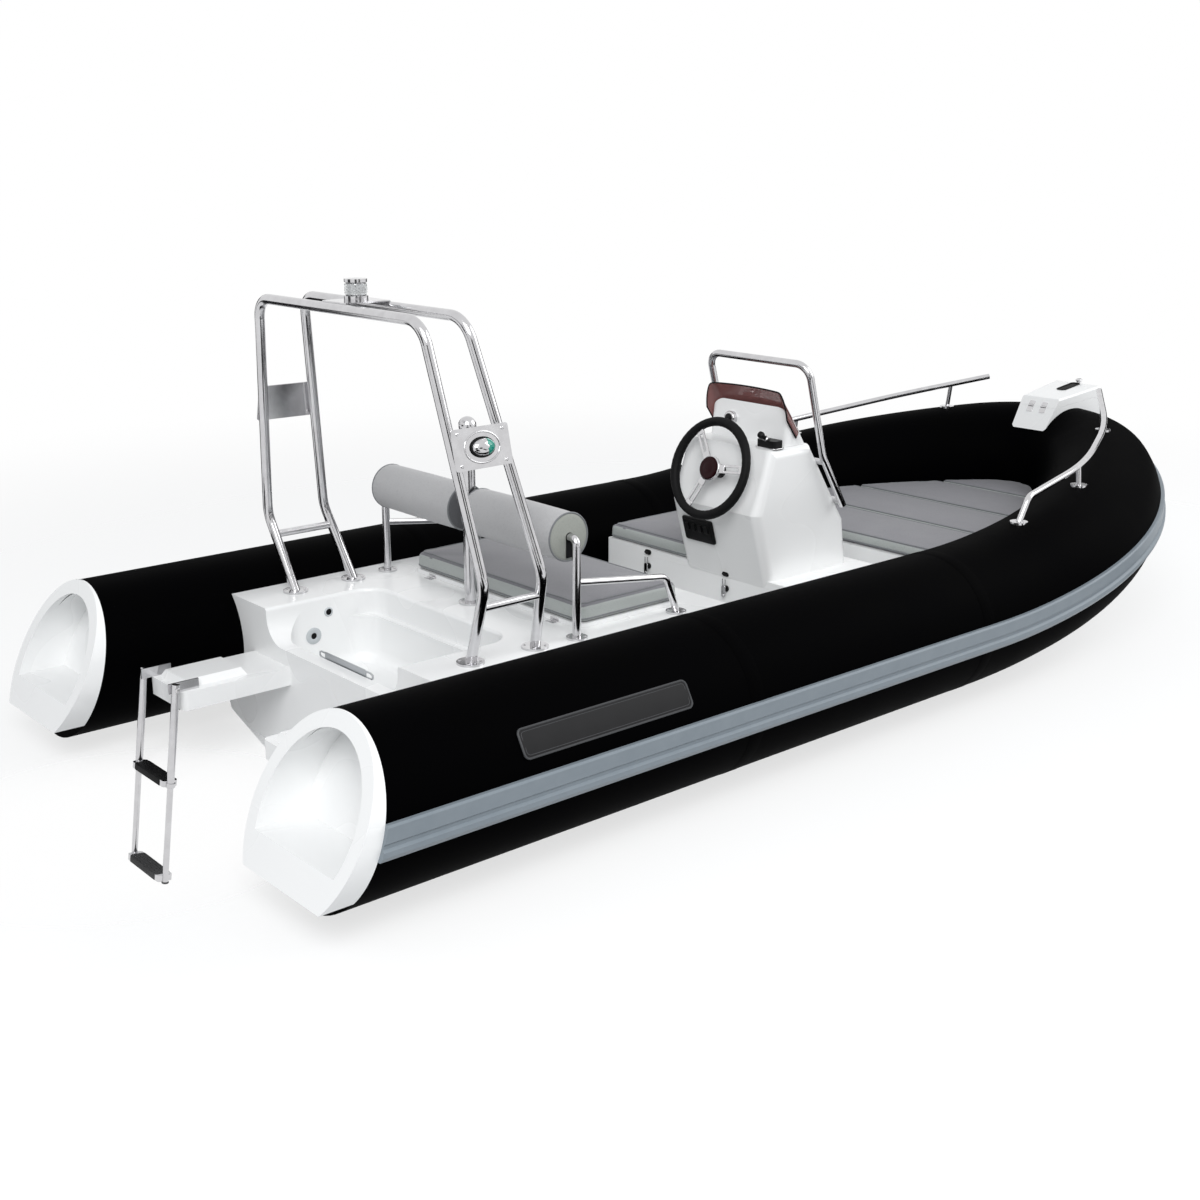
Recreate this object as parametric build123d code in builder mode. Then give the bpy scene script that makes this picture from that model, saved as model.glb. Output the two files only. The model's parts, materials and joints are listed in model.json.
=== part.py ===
"""Rigid inflatable boat: V hull, inflated tubes, roll bar, console and bow fittings.

Millimetres. +X points to the bow, +Y to port, +Z up. The origin lies on the centreline,
at the transom's outer face, on the waterline.
"""

from build123d import *
import os
from math import atan2, cos, degrees, radians, sin

os.makedirs("parts", exist_ok=True)

# Clearances
SEAT_GAP = 0.3        # between bonded or resting curved faces

# Inflated tubes: a straight run, a rise, then two arcs to the apex in one tilted plane
TUBE_R = 262.0
TUBE_Y = 837.0        # half distance between the tube centrelines
AXIS_Z = 310.0        # tube axis above the waterline
STERN_X = -521.0      # end of the tube's fabric at axis height
STERN_RAKE = 16.0     # degrees, top forward
RISE_X = 2111.0       # the tube starts to rise here
BOW_X = 2589.0        # the bow's curve starts here
BOW_TILT = 7.5        # degrees
APEX_X = 4079.0
APEX_R = 443.0        # the tighter arc, round the apex

# Moulded stern caps
CAP_RAKE = 27.0       # degrees, so the rim is deeper at its bottom
CAP_RIM = 58.0        # depth of the rim behind the fabric's end, at axis height
CAP_PROUD = 2.0
CAP_FLAT = 177.0      # flat bottom, below the tube's axis
CUP_R = 228.0         # cup that reaches into the tube
CUP_DEPTH = 96.0
CUP_WALL = 9.0
STEP_DROP = 88.0      # step ledge, below the tube's axis

# Rub strake, a ribbed band on the tube's outer side
STRAKE_HALF = 48.0
STRAKE_BASE = 8.0
STRAKE_BAND = 12.0
STRAKE_RIB = 17.0
STRAKE_ROOT = -30.0   # the section starts this far inside the tube's skin
STRAKE_PROFILE = (
    # depth over the tube, share of the half width
    (STRAKE_ROOT, -1.0), (STRAKE_BASE, -1.0), (STRAKE_RIB, -0.72), (STRAKE_RIB, -0.42), (STRAKE_BASE, -0.3),
    (STRAKE_BASE, -0.08), (STRAKE_BAND, 0.0), (STRAKE_BAND, 0.86), (STRAKE_BASE, 1.0), (STRAKE_ROOT, 1.0),
)

# Hull and sole
SOLE_Z = 110.0
BOW_DECK_X = 2430.0   # aft face of the bow deck
BOW_DECK_Z = 408.0
BOW_PLAN_STEPS = 6    # stations that shape the bow cushions' plan
HULL_STATIONS = (
    # x, keel z, chine y, chine z, edge y, edge z
    (0, -205, 700, 40, 725, SOLE_Z),
    (BOW_DECK_X, -198, 695, 52, 722, SOLE_Z),
    (3000, -160, 620, 100, 665, 175),
    (3400, -95, 510, 150, 565, 235),
    (3700, -15, 380, 205, 440, 295),
    (3900, 75, 240, 250, 310, 335),
    (4030, 165, 110, 285, 170, 362),
    (4090, 230, 22, 305, 45, 375),
)

# Stern deck, splash well and swim platforms
DECK_Z = 485.0
STERN_DECK_LEN = 560.0
TRANSOM_T = 55.0
TRANSOM_Z = 365.0     # top edge where the motor clamps
NOTCH_ROUND = 90.0    # rounding of the cut-down edge's ends
WELL_LEN = 382.0
WELL_Y = 400.0
WELL_CORNER = 85.0
WELL_FLOOR_Z = 225.0
WELL_ROUND = 40.0     # rounding of the well's floor
WELL_LIP = 12.0       # rounding of its edge on the deck
WELL_LEDGE = 30.0     # ledge along the well's forward wall
WELL_LEDGE_DROP = 93.0         # below the deck
SEAT_BOX_LEN = 680.0
LOCKER_WALL = 30.0
PLATFORM_LEN = 391.0
PLATFORM_IN_Y = 256.0
PLATFORM_OUT_Y = 498.0
PLATFORM_Z = 310.0
PLATFORM_T = 62.0
PLATFORM_ROUND = 20.0
TREAD_BLOCK_H = 25.0
TREAD_BLOCK_LEN = 230.0
TREAD_BLOCK_W = 170.0
TREAD_BLOCK_EDGE = 20.0
TREAD_BLOCK_TAPER = 30.0       # degrees

# Boarding ladder on the port platform, leaning aft when it hangs
LADDER_Y = (PLATFORM_IN_Y + PLATFORM_OUT_Y) / 2
LADDER_HALF = 116.0
LADDER_LEAN = 7.8     # degrees
RAIL_OUTER_R = 12.5
RAIL_BORE_R = 10.4
RAIL_INNER_R = 10.0
PIVOT_BACK = 22.0     # pivot behind the platform's edge
PIVOT_UP = 17.0       # pivot above the platform
PIVOT_PIN_R = 5.0
PIN_RUNNING = 0.05
UPPER_LEN = 330.0
LOWER_TOP = 290.0     # distances down the rails from the pivot
LOWER_LEN = 655.0
UPPER_TREAD = 316.0
LOWER_TREAD = 642.0
TREAD_DEPTH = 52.0
TREAD_T = 20.0
BRACKET_T = 6.0
BRACKET_GAP = 1.0     # between a bracket and its rail

# Roll bar: two leaning hoops joined by braces
BAR_R = 17.0
HOOP_TOP_Z = 1525.0
KNEE_RISE = 268.0
HOOPS = (
    # name, foot x, top x, foot y, knee y, top y
    ("roll_bar_aft_hoop", 187.0, 80.0, 521.0, 637.0, 468.0),
    ("roll_bar_forward_hoop", 432.0, 242.0, 530.0, 632.0, 456.0),
)
KNEE_BEND = 120.0
TOP_BEND = 85.0
FOOT_R = 44.0
FOOT_T = 7.0
BRACE_Z = 682.0
BRACE_R = 13.0
PLATE_Z = (1092.0, 1215.0)
PLATE_T = 4.0
SIDE_LIGHT_LEN = 84.0
SIDE_LIGHT_W = 54.0
SIDE_LIGHT_H = 26.0
SIDE_LIGHT_DOME = 20.8
MAST_LIGHT_PROFILE = (
    # radius, height above the top plate
    (38.0, 0.0), (38.0, 14.0), (30.0, 18.0), (30.0, 52.0), (36.0, 56.0), (36.0, 66.0), (0.0, 68.0),
)

# Rear seat: hinged pad, bolster rolls on a bent frame, tow post between them
SEAT_BACK = 100.0     # pad's aft edge ahead of the stern deck
SEAT_LEN = 465.0
SEAT_HALF = 479.0
SEAT_BOARD_T = 14.0
SEAT_CUSHION_T = 72.0
SEAT_CORNER = 38.0
POST_AHEAD = 32.0     # frame's posts ahead of the stern deck
POST_Y = 545.0
FRAME_R = 14.0
FRAME_BAR_R = 12.0
FRAME_BAR_DROP = 142.0         # side bar's aft end below the bolsters' axis
FRAME_BAR_FALL = 53.0          # and its fall towards the bend
FRAME_BEND_LEN = 321.0         # places along the pad
FRAME_FOOT_LEN = 372.0
FRAME_FOOT_R = 35.0
BOLSTER_Z = 813.0
BOLSTER_R = 81.0
BOLSTER_IN_Y = 34.0
BOLSTER_OUT_Y = 511.0
TOW_POST_AHEAD = 15.0 # clear of the pad as it lifts
TOW_POST_R = 23.0
TOW_TOP_Z = 1105.0
TOW_BALL_R = 31.0

# Console on a hinged lid over a locker
LOCKER_X = 1685.0
LOCKER_LEN = 505.0
LOCKER_HALF = 552.0
LOCKER_TOP_Z = 402.0
LID_T = 28.0
CONSOLE_PORT_Y = 84.0
CONSOLE_STBD_Y = -372.0
CONSOLE_ROUND = 34.0
KNUCKLE = (1600.0, 693.0)      # x, z of the console's side outline
SHELF_EDGE = (1678.0, 930.0)
SHELF_BACK = (1780.0, 930.0)
CONSOLE_TOP = (1795.0, 1071.0)
BROW = (1859.0, 985.0)
HOOD_FOOT = (1895.0, 930.0)
HOOD_INSET = 26.0
HOOD_ROUND = 24.0
HOOD_SHOULDER = 66.0  # rounding of the hood's outline, seen from astern
LOCKER_ROUND = 14.0
NOSE = (2104.0, 614.0)
NOSE_FOOT = (2134.0, 430.0)
SCREEN_T = 6.0
SCREEN_CORNER = 44.0
SCREEN_H = 176.0
WHEEL_Z = 826.0
WHEEL_OFF = 62.0      # wheel's plane above the lower dash
WHEEL_R = 180.0
GRIP_R = 16.0
COLUMN_R = 26.0
HUB_R = 34.0
SPOKE_ANGLES = (6.0, 126.0, 246.0)
SPOKE_T = 8.0
SPOKE_W = 26.0
SPOKE_START = 27.0
THROTTLE_IN = 62.0    # from the console's starboard side
THROTTLE_LEN = 92.0
THROTTLE_W = 50.0
THROTTLE_H = 30.0
THROTTLE_ROUND = 12.0
LEVER_R = 8.0
LEVER_LEN = 64.0
LEVER_TILT = 58.0     # degrees, top aft
GAUGE_R = 28.0
GAUGE_T = 20.0
GAUGE_ROUND = 8.0
GAUGE_Z = 1001.0
GAUGE_IN = 140.0      # from the console's port side
CUSHION_T = 70.0
CUSHION_EDGE = 4.0
CUSHION_ROUND = 17.5
HANDRAIL_R = 14.0
HANDRAIL_OUT = 28.0
HANDRAIL_PROFILE = ((2052.0, 678.0), (1926.0, 882.0), (1826.0, 1235.0))    # x, z
HANDRAIL_BENDS = (120.0, 60.0, 60.0, 120.0)
STANDOFF_R = 11.0
STANDOFFS = ((2040.0, 697.0), (1940.0, 859.0))      # x, z

# Bow: cushions, box with a lid, rails
BOW_CUSHION_T = 60.0
BOW_CUSHION_GAP = 6.0
BOW_CUSHION_EDGES = (2436.0, 2810.0, 3180.0, 3560.0, 3890.0)
CUSHION_MARGIN = 14.0
BOX_AFT = (3868.0, -92.0)      # x, and z above the tube's crown, of the box's side outline
BOX_SPLIT_AFT = (3934.0, 9.0)
BOX_SPLIT_FORE = (4290.0, 42.0)
BOX_FORE = (4335.0, -110.0)
LID_TOP_AFT = (3962.0, 50.0)
LID_TOP_FORE = (4268.0, 88.0)
LID_ROUND = 10.0
BOX_AFT_HALF = 92.0
BOX_FORE_HALF = 132.0
BOW_RAIL_R = 13.0
BOW_RAIL_ROUTE = (
    # x, y, z of the bends of the port rail above its aft foot
    (2640.0, 836.0, 700.0),
    (3154.0, 757.0, 752.0),
    (3606.0, 565.0, 832.0),
    (3960.0, 303.0, 916.0),
)
BOW_RAIL_FOOT_X = 2582.0
BOW_RAIL_BENDS = (50.0, 1500.0, 1500.0)
BOW_RAIL_PROPS = (3082.0, 3809.0)
BOW_PROP_R = 10.4
PAD_R = 34.0
PAD_T = 8.0
RAIL_SEAT = 2.0       # the rail's feet start this far up in their pads

# Clamp plate inside the transom
CLAMP_HALF = 200.0
CLAMP_H = 60.0
CLAMP_DROP = 10.0     # below the transom's top edge

# Towing eye on the stem
EYE_X = 4052.0
EYE_T = 10.0
EYE_HOLE_R = 12.0
EYE_R = 26.0
EYE_DROP = 10.4       # ring's centre below the stem
EYE_LUG = 41.6        # lug that joins the ring to the stem
EYE_LUG_UP = 15.6

# Values worked out from those above
tilt = radians(BOW_TILT)
rise_r = (BOW_X - RISE_X) / sin(tilt)
bow_z = AXIS_Z + rise_r * (1 - cos(tilt))
bow_len = (APEX_X - BOW_X) / cos(tilt)
wide_r = ((bow_len - APEX_R) ** 2 + TUBE_Y**2 - APEX_R**2) / (2 * (TUBE_Y - APEX_R))
wide_turn = atan2(bow_len - APEX_R, wide_r - TUBE_Y)
seat_x = STERN_DECK_LEN + SEAT_BACK
post_x = STERN_DECK_LEN + POST_AHEAD
tow_post_x = STERN_DECK_LEN + TOW_POST_AHEAD
crown_z = bow_z + bow_len * sin(tilt) + TUBE_R
console_mid_y = (CONSOLE_PORT_Y + CONSOLE_STBD_Y) / 2
console_w = CONSOLE_PORT_Y - CONSOLE_STBD_Y

bow_plane = Plane((BOW_X, 0, bow_z), x_dir=(cos(tilt), 0, sin(tilt)), z_dir=(-sin(tilt), 0, cos(tilt)))


def raked_plane(angle):
    """Plane across the tubes' ends, leaning forward at its top."""
    rake = radians(angle)
    return Plane((STERN_X, 0, AXIS_Z), x_dir=(0, 1, 0), z_dir=(cos(rake), 0, -sin(rake)))


stern_plane = raked_plane(STERN_RAKE)
cap_plane = raked_plane(CAP_RAKE)


def side_plane(x):
    """Section plane of the port tube's straight run, its x outboard and its y up."""
    return Plane((x, TUBE_Y, AXIS_Z), x_dir=(0, 1, 0), z_dir=(1, 0, 0))


def disc(radius):
    """Section maker for a round tube about the tube's axis."""

    def section(plane):
        with BuildSketch(plane) as sketch:
            Circle(radius)
        return sketch.sketch

    return section


def strake_section(plane):
    """Rub strake's ribbed section, seated on the tube's outer side."""
    with BuildSketch(plane) as sketch:
        Polygon(*[(TUBE_R + depth, share * STRAKE_HALF) for depth, share in STRAKE_PROFILE], align=None)
        Circle(TUBE_R + SEAT_GAP, mode=Mode.SUBTRACT)
    return sketch.sketch


def straight_run(section, start_x):
    """Carry a section along the port tube's straight run."""
    extrude(section(side_plane(start_x)), amount=RISE_X - start_x)


def rising_run(section):
    """Carry a section along the port tube's rise."""
    axis = Axis((RISE_X, 0, AXIS_Z + rise_r), (0, -1, 0))
    revolve(section(side_plane(RISE_X)), axis=axis, revolution_arc=BOW_TILT)


def wide_run(section):
    """Carry a section round the wider arc of the port bow."""
    start = Plane(
        bow_plane.from_local_coords((0, TUBE_Y, 0)), x_dir=(0, 1, 0), z_dir=bow_plane.x_dir
    )
    axis = Axis(bow_plane.from_local_coords((0, TUBE_Y - wide_r, 0)), -bow_plane.z_dir)
    revolve(section(start), axis=axis, revolution_arc=degrees(wide_turn))


def tight_run(section, halves=1):
    """Carry a section round the tighter arc, to the apex or on to the starboard side."""
    centre = bow_plane.from_local_coords((bow_len - APEX_R, 0, 0))
    outward = bow_plane.x_dir * sin(wide_turn) + Vector(0, 1, 0) * cos(wide_turn)
    ahead = bow_plane.x_dir * cos(wide_turn) - Vector(0, 1, 0) * sin(wide_turn)
    start = Plane(centre + outward * APEX_R, x_dir=outward, z_dir=ahead)
    turn = halves * (90 - degrees(wide_turn))
    revolve(section(start), axis=Axis(centre, -bow_plane.z_dir), revolution_arc=turn)


def tube_room(radius):
    """Runs of both tubes at a larger radius, as separate pieces to cut with."""
    section = disc(radius)
    with BuildPart() as straight:
        straight_run(section, STERN_X - 4 * CAP_RIM)
    with BuildPart() as rising:
        rising_run(section)
    with BuildPart() as wide:
        wide_run(section)
    with BuildPart() as tight:
        tight_run(section, halves=2)
    port_runs = [straight.part, rising.part, wide.part]
    return [*port_runs, *[mirrored(run) for run in port_runs], tight.part]


def cut_room(runs):
    """Take the tubes' room out of the piece being made."""
    for run in runs:
        add(run, mode=Mode.SUBTRACT)


def tube_axis_at(x):
    """Y and Z of the port tube's axis at a station."""
    if x <= RISE_X:
        return TUBE_Y, AXIS_Z
    if x <= BOW_X:
        return TUBE_Y, AXIS_Z + rise_r - (rise_r**2 - (x - RISE_X) ** 2) ** 0.5
    along = (x - BOW_X) / cos(tilt)
    z = bow_z + along * sin(tilt)
    if along <= wide_r * sin(wide_turn):
        return TUBE_Y - wide_r + (wide_r**2 - along**2) ** 0.5, z
    return (APEX_R**2 - (along - bow_len + APEX_R) ** 2) ** 0.5, z


def bent_bar(points, bends, radius):
    """Round bar along straight runs joined by bends."""
    with BuildPart() as bar:
        with BuildLine() as route:
            FilletPolyline(*points, radius=bends)
        with BuildSketch(Plane(route.line @ 0, z_dir=route.line % 0)):
            Circle(radius)
        sweep()
    return bar.part


def straight_bar(start, end, radius):
    """Round bar between two points."""
    run = Vector(end) - Vector(start)
    with BuildPart() as bar:
        with BuildSketch(Plane(start, z_dir=run)):
            Circle(radius)
        extrude(amount=run.length)
    return bar.part


def block(low, high):
    """Box between two corners."""
    size = [h - l for l, h in zip(low, high)]
    with BuildPart() as box:
        with Locations(low):
            Box(*size, align=(Align.MIN, Align.MIN, Align.MIN))
    return box.part


def side_slab(outline, low_y, high_y):
    """Slab with an outline in x and z, between two sides."""
    with BuildPart() as slab:
        with BuildSketch(Plane((0, high_y, 0), x_dir=(1, 0, 0), z_dir=(0, -1, 0))):
            Polygon(*outline, align=None)
        extrude(amount=high_y - low_y)
    return slab.part


def mirrored(shape):
    """The starboard twin of a port piece."""
    return shape.mirror(Plane.XZ)


def keep(builder, name):
    """Label a finished piece and write its file."""
    builder.part.label = name
    export_step(builder.part, f"parts/{name}.step")


# Room that the tubes take from the mouldings between them
cradle = tube_room(TUBE_R + SEAT_GAP)
cushion_room = tube_room(TUBE_R + CUSHION_MARGIN)

# Hull
with BuildPart() as hull:
    for x, keel_z, chine_y, chine_z, edge_y, edge_z in HULL_STATIONS:
        with BuildSketch(Plane.YZ.offset(x)):
            Polygon(
                (0, keel_z), (chine_y, chine_z), (edge_y, edge_z),
                (-edge_y, edge_z), (-chine_y, chine_z), align=None,
            )
    loft(ruled=True)
    cut_room(cradle)
keep(hull, "hull")

# Tubes, with a pocket in each stern end for the cap's cup
with BuildPart() as port_tube:
    straight_run(disc(TUBE_R), STERN_X - 2 * TUBE_R)
    rising_run(disc(TUBE_R))
    split(bisect_by=stern_plane, keep=Keep.TOP)
    with BuildSketch(side_plane(STERN_X - 2 * TUBE_R)):
        Circle(CUP_R + SEAT_GAP)
    pocket = extrude(amount=4 * TUBE_R, mode=Mode.PRIVATE)
    pocket = pocket.split(cap_plane.offset(CUP_DEPTH + SEAT_GAP), keep=Keep.BOTTOM)
    add(pocket, mode=Mode.SUBTRACT)
keep(port_tube, "port_tube")

with BuildPart() as starboard_tube:
    add(mirrored(port_tube.part))
keep(starboard_tube, "starboard_tube")

with BuildPart() as port_bow_tube:
    wide_run(disc(TUBE_R))
    tight_run(disc(TUBE_R))
keep(port_bow_tube, "port_bow_tube")

with BuildPart() as starboard_bow_tube:
    add(mirrored(port_bow_tube.part))
keep(starboard_bow_tube, "starboard_bow_tube")

# Stern caps: a rim with a flat bottom and a stepped cup
with BuildPart() as port_stern_cap:
    with BuildSketch(side_plane(STERN_X - 2 * TUBE_R)):
        Circle(TUBE_R + CAP_PROUD)
    extrude(amount=4 * TUBE_R)
    split(bisect_by=cap_plane.offset(-CAP_RIM), keep=Keep.TOP)
    split(bisect_by=stern_plane.offset(-SEAT_GAP), keep=Keep.BOTTOM)
    with BuildSketch(side_plane(STERN_X - 2 * TUBE_R)):
        Circle(CUP_R)
    cup = extrude(amount=4 * TUBE_R, mode=Mode.PRIVATE)
    cup = cup.split(cap_plane.offset(CUP_DEPTH), keep=Keep.BOTTOM)
    cup = cup.split(cap_plane.offset(-CAP_RIM / 2), keep=Keep.TOP)
    add(cup)
    split(bisect_by=Plane.XY.offset(AXIS_Z - CAP_FLAT), keep=Keep.TOP)
    with BuildSketch(side_plane(STERN_X - 2 * TUBE_R)):
        Circle(CUP_R - CUP_WALL)
        with Locations((0, -STEP_DROP - TUBE_R)):
            Rectangle(4 * TUBE_R, 2 * TUBE_R, mode=Mode.SUBTRACT)
    hollow = extrude(amount=4 * TUBE_R, mode=Mode.PRIVATE)
    hollow = hollow.split(cap_plane.offset(CUP_DEPTH - CUP_WALL), keep=Keep.BOTTOM)
    add(hollow, mode=Mode.SUBTRACT)
keep(port_stern_cap, "port_stern_cap")

with BuildPart() as starboard_stern_cap:
    add(mirrored(port_stern_cap.part))
keep(starboard_stern_cap, "starboard_stern_cap")

# Rub strakes
with BuildPart() as port_rub_strake:
    straight_run(strake_section, STERN_X - TUBE_R)
    rising_run(strake_section)
    split(bisect_by=stern_plane, keep=Keep.TOP)
keep(port_rub_strake, "port_rub_strake")

with BuildPart() as starboard_rub_strake:
    add(mirrored(port_rub_strake.part))
keep(starboard_rub_strake, "starboard_rub_strake")

with BuildPart() as port_bow_strake:
    wide_run(strake_section)
    tight_run(strake_section)
keep(port_bow_strake, "port_bow_strake")

with BuildPart() as starboard_bow_strake:
    add(mirrored(port_bow_strake.part))
keep(starboard_bow_strake, "starboard_bow_strake")

# Stern deck with its splash well and the transom's cut-down edge
with BuildPart() as well_room:
    for floor_z, room_len in ((WELL_FLOOR_Z, WELL_LEN - WELL_LEDGE), (DECK_Z - WELL_LEDGE_DROP, WELL_LEN)):
        with BuildSketch(Plane.XY.offset(floor_z)):
            with Locations((TRANSOM_T + room_len / 2, 0)):
                RectangleRounded(room_len, 2 * WELL_Y, WELL_CORNER)
        extrude(amount=DECK_Z)
    fillet(well_room.edges().group_by(Axis.Z)[0], radius=WELL_ROUND)

with BuildPart() as motor_room:
    with BuildSketch(Plane.YZ.offset(-TRANSOM_T)) as notch:
        with Locations((0, TRANSOM_Z)):
            Rectangle(2 * WELL_Y, DECK_Z, align=(Align.CENTER, Align.MIN))
        fillet(notch.vertices().group_by(Axis.Z)[0], radius=NOTCH_ROUND)
    extrude(amount=2 * TRANSOM_T + WELL_CORNER)

with BuildPart() as stern_deck:
    add(block((0, -TUBE_Y, SOLE_Z), (STERN_DECK_LEN, TUBE_Y, DECK_Z)))
    cut_room(cradle)
    add(well_room.part, mode=Mode.SUBTRACT)
    add(motor_room.part, mode=Mode.SUBTRACT)
    deck_top = stern_deck.faces().sort_by(Axis.Z)[-1]
    well_edges = deck_top.edges().filter_by(lambda edge: abs(edge.center().Y) < WELL_Y + WELL_LIP)
    fillet(well_edges.filter_by(lambda edge: WELL_LIP < edge.center().X < STERN_DECK_LEN - WELL_LIP), radius=WELL_LIP)
keep(stern_deck, "stern_deck")

seat_box_end = STERN_DECK_LEN + SEAT_BOX_LEN
with BuildPart() as rear_seat_box:
    add(block((STERN_DECK_LEN, -TUBE_Y, SOLE_Z), (seat_box_end, TUBE_Y, DECK_Z)))
    cut_room(cradle)
    add(
        block(
            (seat_x + LOCKER_WALL, LOCKER_WALL - SEAT_HALF, SOLE_Z + LOCKER_WALL),
            (seat_x + SEAT_LEN - LOCKER_WALL, SEAT_HALF - LOCKER_WALL, DECK_Z + LOCKER_WALL),
        ),
        mode=Mode.SUBTRACT,
    )
keep(rear_seat_box, "rear_seat_box")

# Swim platforms beside the motor, each with a raised tread block
with BuildPart() as port_platform:
    add(
        block(
            (-PLATFORM_LEN, PLATFORM_IN_Y, PLATFORM_Z - PLATFORM_T),
            (0, PLATFORM_OUT_Y, PLATFORM_Z),
        )
    )
    fillet(port_platform.edges().filter_by(Axis.Z).group_by(Axis.X)[0], radius=PLATFORM_ROUND)
    with BuildSketch(Plane.XY.offset(PLATFORM_Z)):
        with Locations((-PLATFORM_LEN + TREAD_BLOCK_EDGE + TREAD_BLOCK_LEN / 2, LADDER_Y)):
            Rectangle(TREAD_BLOCK_LEN, TREAD_BLOCK_W)
    extrude(amount=TREAD_BLOCK_H, taper=TREAD_BLOCK_TAPER)
keep(port_platform, "port_platform")

with BuildPart() as starboard_platform:
    add(mirrored(port_platform.part))
keep(starboard_platform, "starboard_platform")

# Boarding ladder: hinge brackets, upper rails with a tread, sliding lower rails with a tread
pivot = Vector(-PLATFORM_LEN - PIVOT_BACK, LADDER_Y, PLATFORM_Z + PIVOT_UP)
lean = radians(LADDER_LEAN)
down = Vector(-sin(lean), 0, -cos(lean))
rail_sides = (Vector(0, -LADDER_HALF, 0), Vector(0, LADDER_HALF, 0))
bracket_in = RAIL_OUTER_R + BRACKET_GAP
bracket_h = 2 * PIVOT_UP

with BuildPart() as ladder_brackets:
    for side in (-1, 1):
        face_y = LADDER_Y + side * (LADDER_HALF - bracket_in)
        far_y = face_y - side * BRACKET_T
        low_y, high_y = sorted((face_y, far_y))
        add(
            block(
                (pivot.X - PIVOT_UP, low_y, PLATFORM_Z),
                (pivot.X + 4 * PIVOT_BACK, high_y, PLATFORM_Z + bracket_h),
            )
        )
        pin_end = (pivot.X, LADDER_Y + side * (LADDER_HALF + RAIL_OUTER_R), pivot.Z)
        add(straight_bar((pivot.X, far_y, pivot.Z), pin_end, PIVOT_PIN_R))
keep(ladder_brackets, "ladder_brackets")


def tread(distance, half_width):
    """Flat step between the rails, square to them."""
    centre = pivot + down * distance
    plane = Plane(centre, x_dir=(0, 1, 0), z_dir=down)
    with BuildPart() as step:
        with BuildSketch(plane):
            RectangleRounded(2 * half_width, TREAD_DEPTH, TREAD_DEPTH / 5)
        extrude(amount=TREAD_T / 2, both=True)
    return step.part


with BuildPart() as ladder_upper:
    add(tread(UPPER_TREAD, LADDER_HALF))
    for side in rail_sides:
        rail_top = pivot + side - down * PIVOT_UP
        add(straight_bar(rail_top, pivot + side + down * UPPER_LEN, RAIL_OUTER_R))
    for side in rail_sides:
        bore_start = pivot + side + down * (PIVOT_PIN_R + RAIL_OUTER_R / 2)
        bore_end = pivot + side + down * (UPPER_LEN + TREAD_T)
        add(straight_bar(bore_start, bore_end, RAIL_BORE_R), mode=Mode.SUBTRACT)
        across = Vector(0, 2 * RAIL_OUTER_R, 0)
        add(
            straight_bar(pivot + side - across, pivot + side + across, PIVOT_PIN_R + PIN_RUNNING),
            mode=Mode.SUBTRACT,
        )
keep(ladder_upper, "ladder_upper")

with BuildPart() as ladder_lower:
    add(tread(LOWER_TREAD, LADDER_HALF))
    for side in rail_sides:
        rail_top = pivot + side + down * LOWER_TOP
        add(straight_bar(rail_top, pivot + side + down * LOWER_LEN, RAIL_INNER_R))
keep(ladder_lower, "ladder_lower")

# Roll bar
hoop_room = []
for name, foot_x, top_x, foot_y, knee_y, top_y in HOOPS:
    lean_x = (top_x - foot_x) / (HOOP_TOP_Z - DECK_Z)
    knee_z = DECK_Z + KNEE_RISE

    def at(y, z):
        """Point of the hoop's leaning plane."""
        return (foot_x + lean_x * (z - DECK_Z), y, z)

    drop = 2 * BAR_R / KNEE_RISE
    low_end = at(foot_y - drop * (knee_y - foot_y), DECK_Z - drop * KNEE_RISE)
    route = [low_end, at(knee_y, knee_z), at(top_y, HOOP_TOP_Z)]
    route += [(x, -y, z) for x, y, z in reversed(route)]
    bends = [KNEE_BEND, TOP_BEND, TOP_BEND, KNEE_BEND]
    hoop_room.append(bent_bar(route, bends, BAR_R + SEAT_GAP))
    with BuildPart() as hoop:
        add(bent_bar(route, bends, BAR_R))
        split(bisect_by=Plane.XY.offset(DECK_Z + FOOT_T), keep=Keep.TOP)
    keep(hoop, name)

with BuildPart() as roll_bar_feet:
    for name, foot_x, top_x, foot_y, knee_y, top_y in HOOPS:
        for side in (-1, 1):
            with Locations((foot_x, side * foot_y, DECK_Z)):
                Cylinder(FOOT_R, FOOT_T, align=(Align.CENTER, Align.CENTER, Align.MIN))
keep(roll_bar_feet, "roll_bar_feet")


def leg_point(hoop, z):
    """Centre of a hoop's port leg, above the knee or below it, at a height."""
    name, foot_x, top_x, foot_y, knee_y, top_y = hoop
    knee_z = DECK_Z + KNEE_RISE
    if z < knee_z:
        share = (z - DECK_Z) / KNEE_RISE
        y = foot_y + share * (knee_y - foot_y)
    else:
        y = knee_y + (z - knee_z) / (HOOP_TOP_Z - knee_z) * (top_y - knee_y)
    x = foot_x + (top_x - foot_x) * (z - DECK_Z) / (HOOP_TOP_Z - DECK_Z)
    return Vector(x, y, z)


aft_hoop, fore_hoop = HOOPS
with BuildPart() as roll_bar_braces:
    aft_end = leg_point(aft_hoop, BRACE_Z)
    fore_end = leg_point(fore_hoop, BRACE_Z)
    add(straight_bar(aft_end, fore_end, BRACE_R))
    mirror(about=Plane.XZ)
    for room in hoop_room:
        add(room, mode=Mode.SUBTRACT)
    top_aft = leg_point(aft_hoop, HOOP_TOP_Z).X
    top_fore = leg_point(fore_hoop, HOOP_TOP_Z).X
    add(
        block(
            (top_aft, -BAR_R * 4, HOOP_TOP_Z + BAR_R + SEAT_GAP),
            (top_fore, BAR_R * 4, HOOP_TOP_Z + BAR_R + SEAT_GAP + PLATE_T),
        )
    )
keep(roll_bar_braces, "roll_bar_braces")

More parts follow.
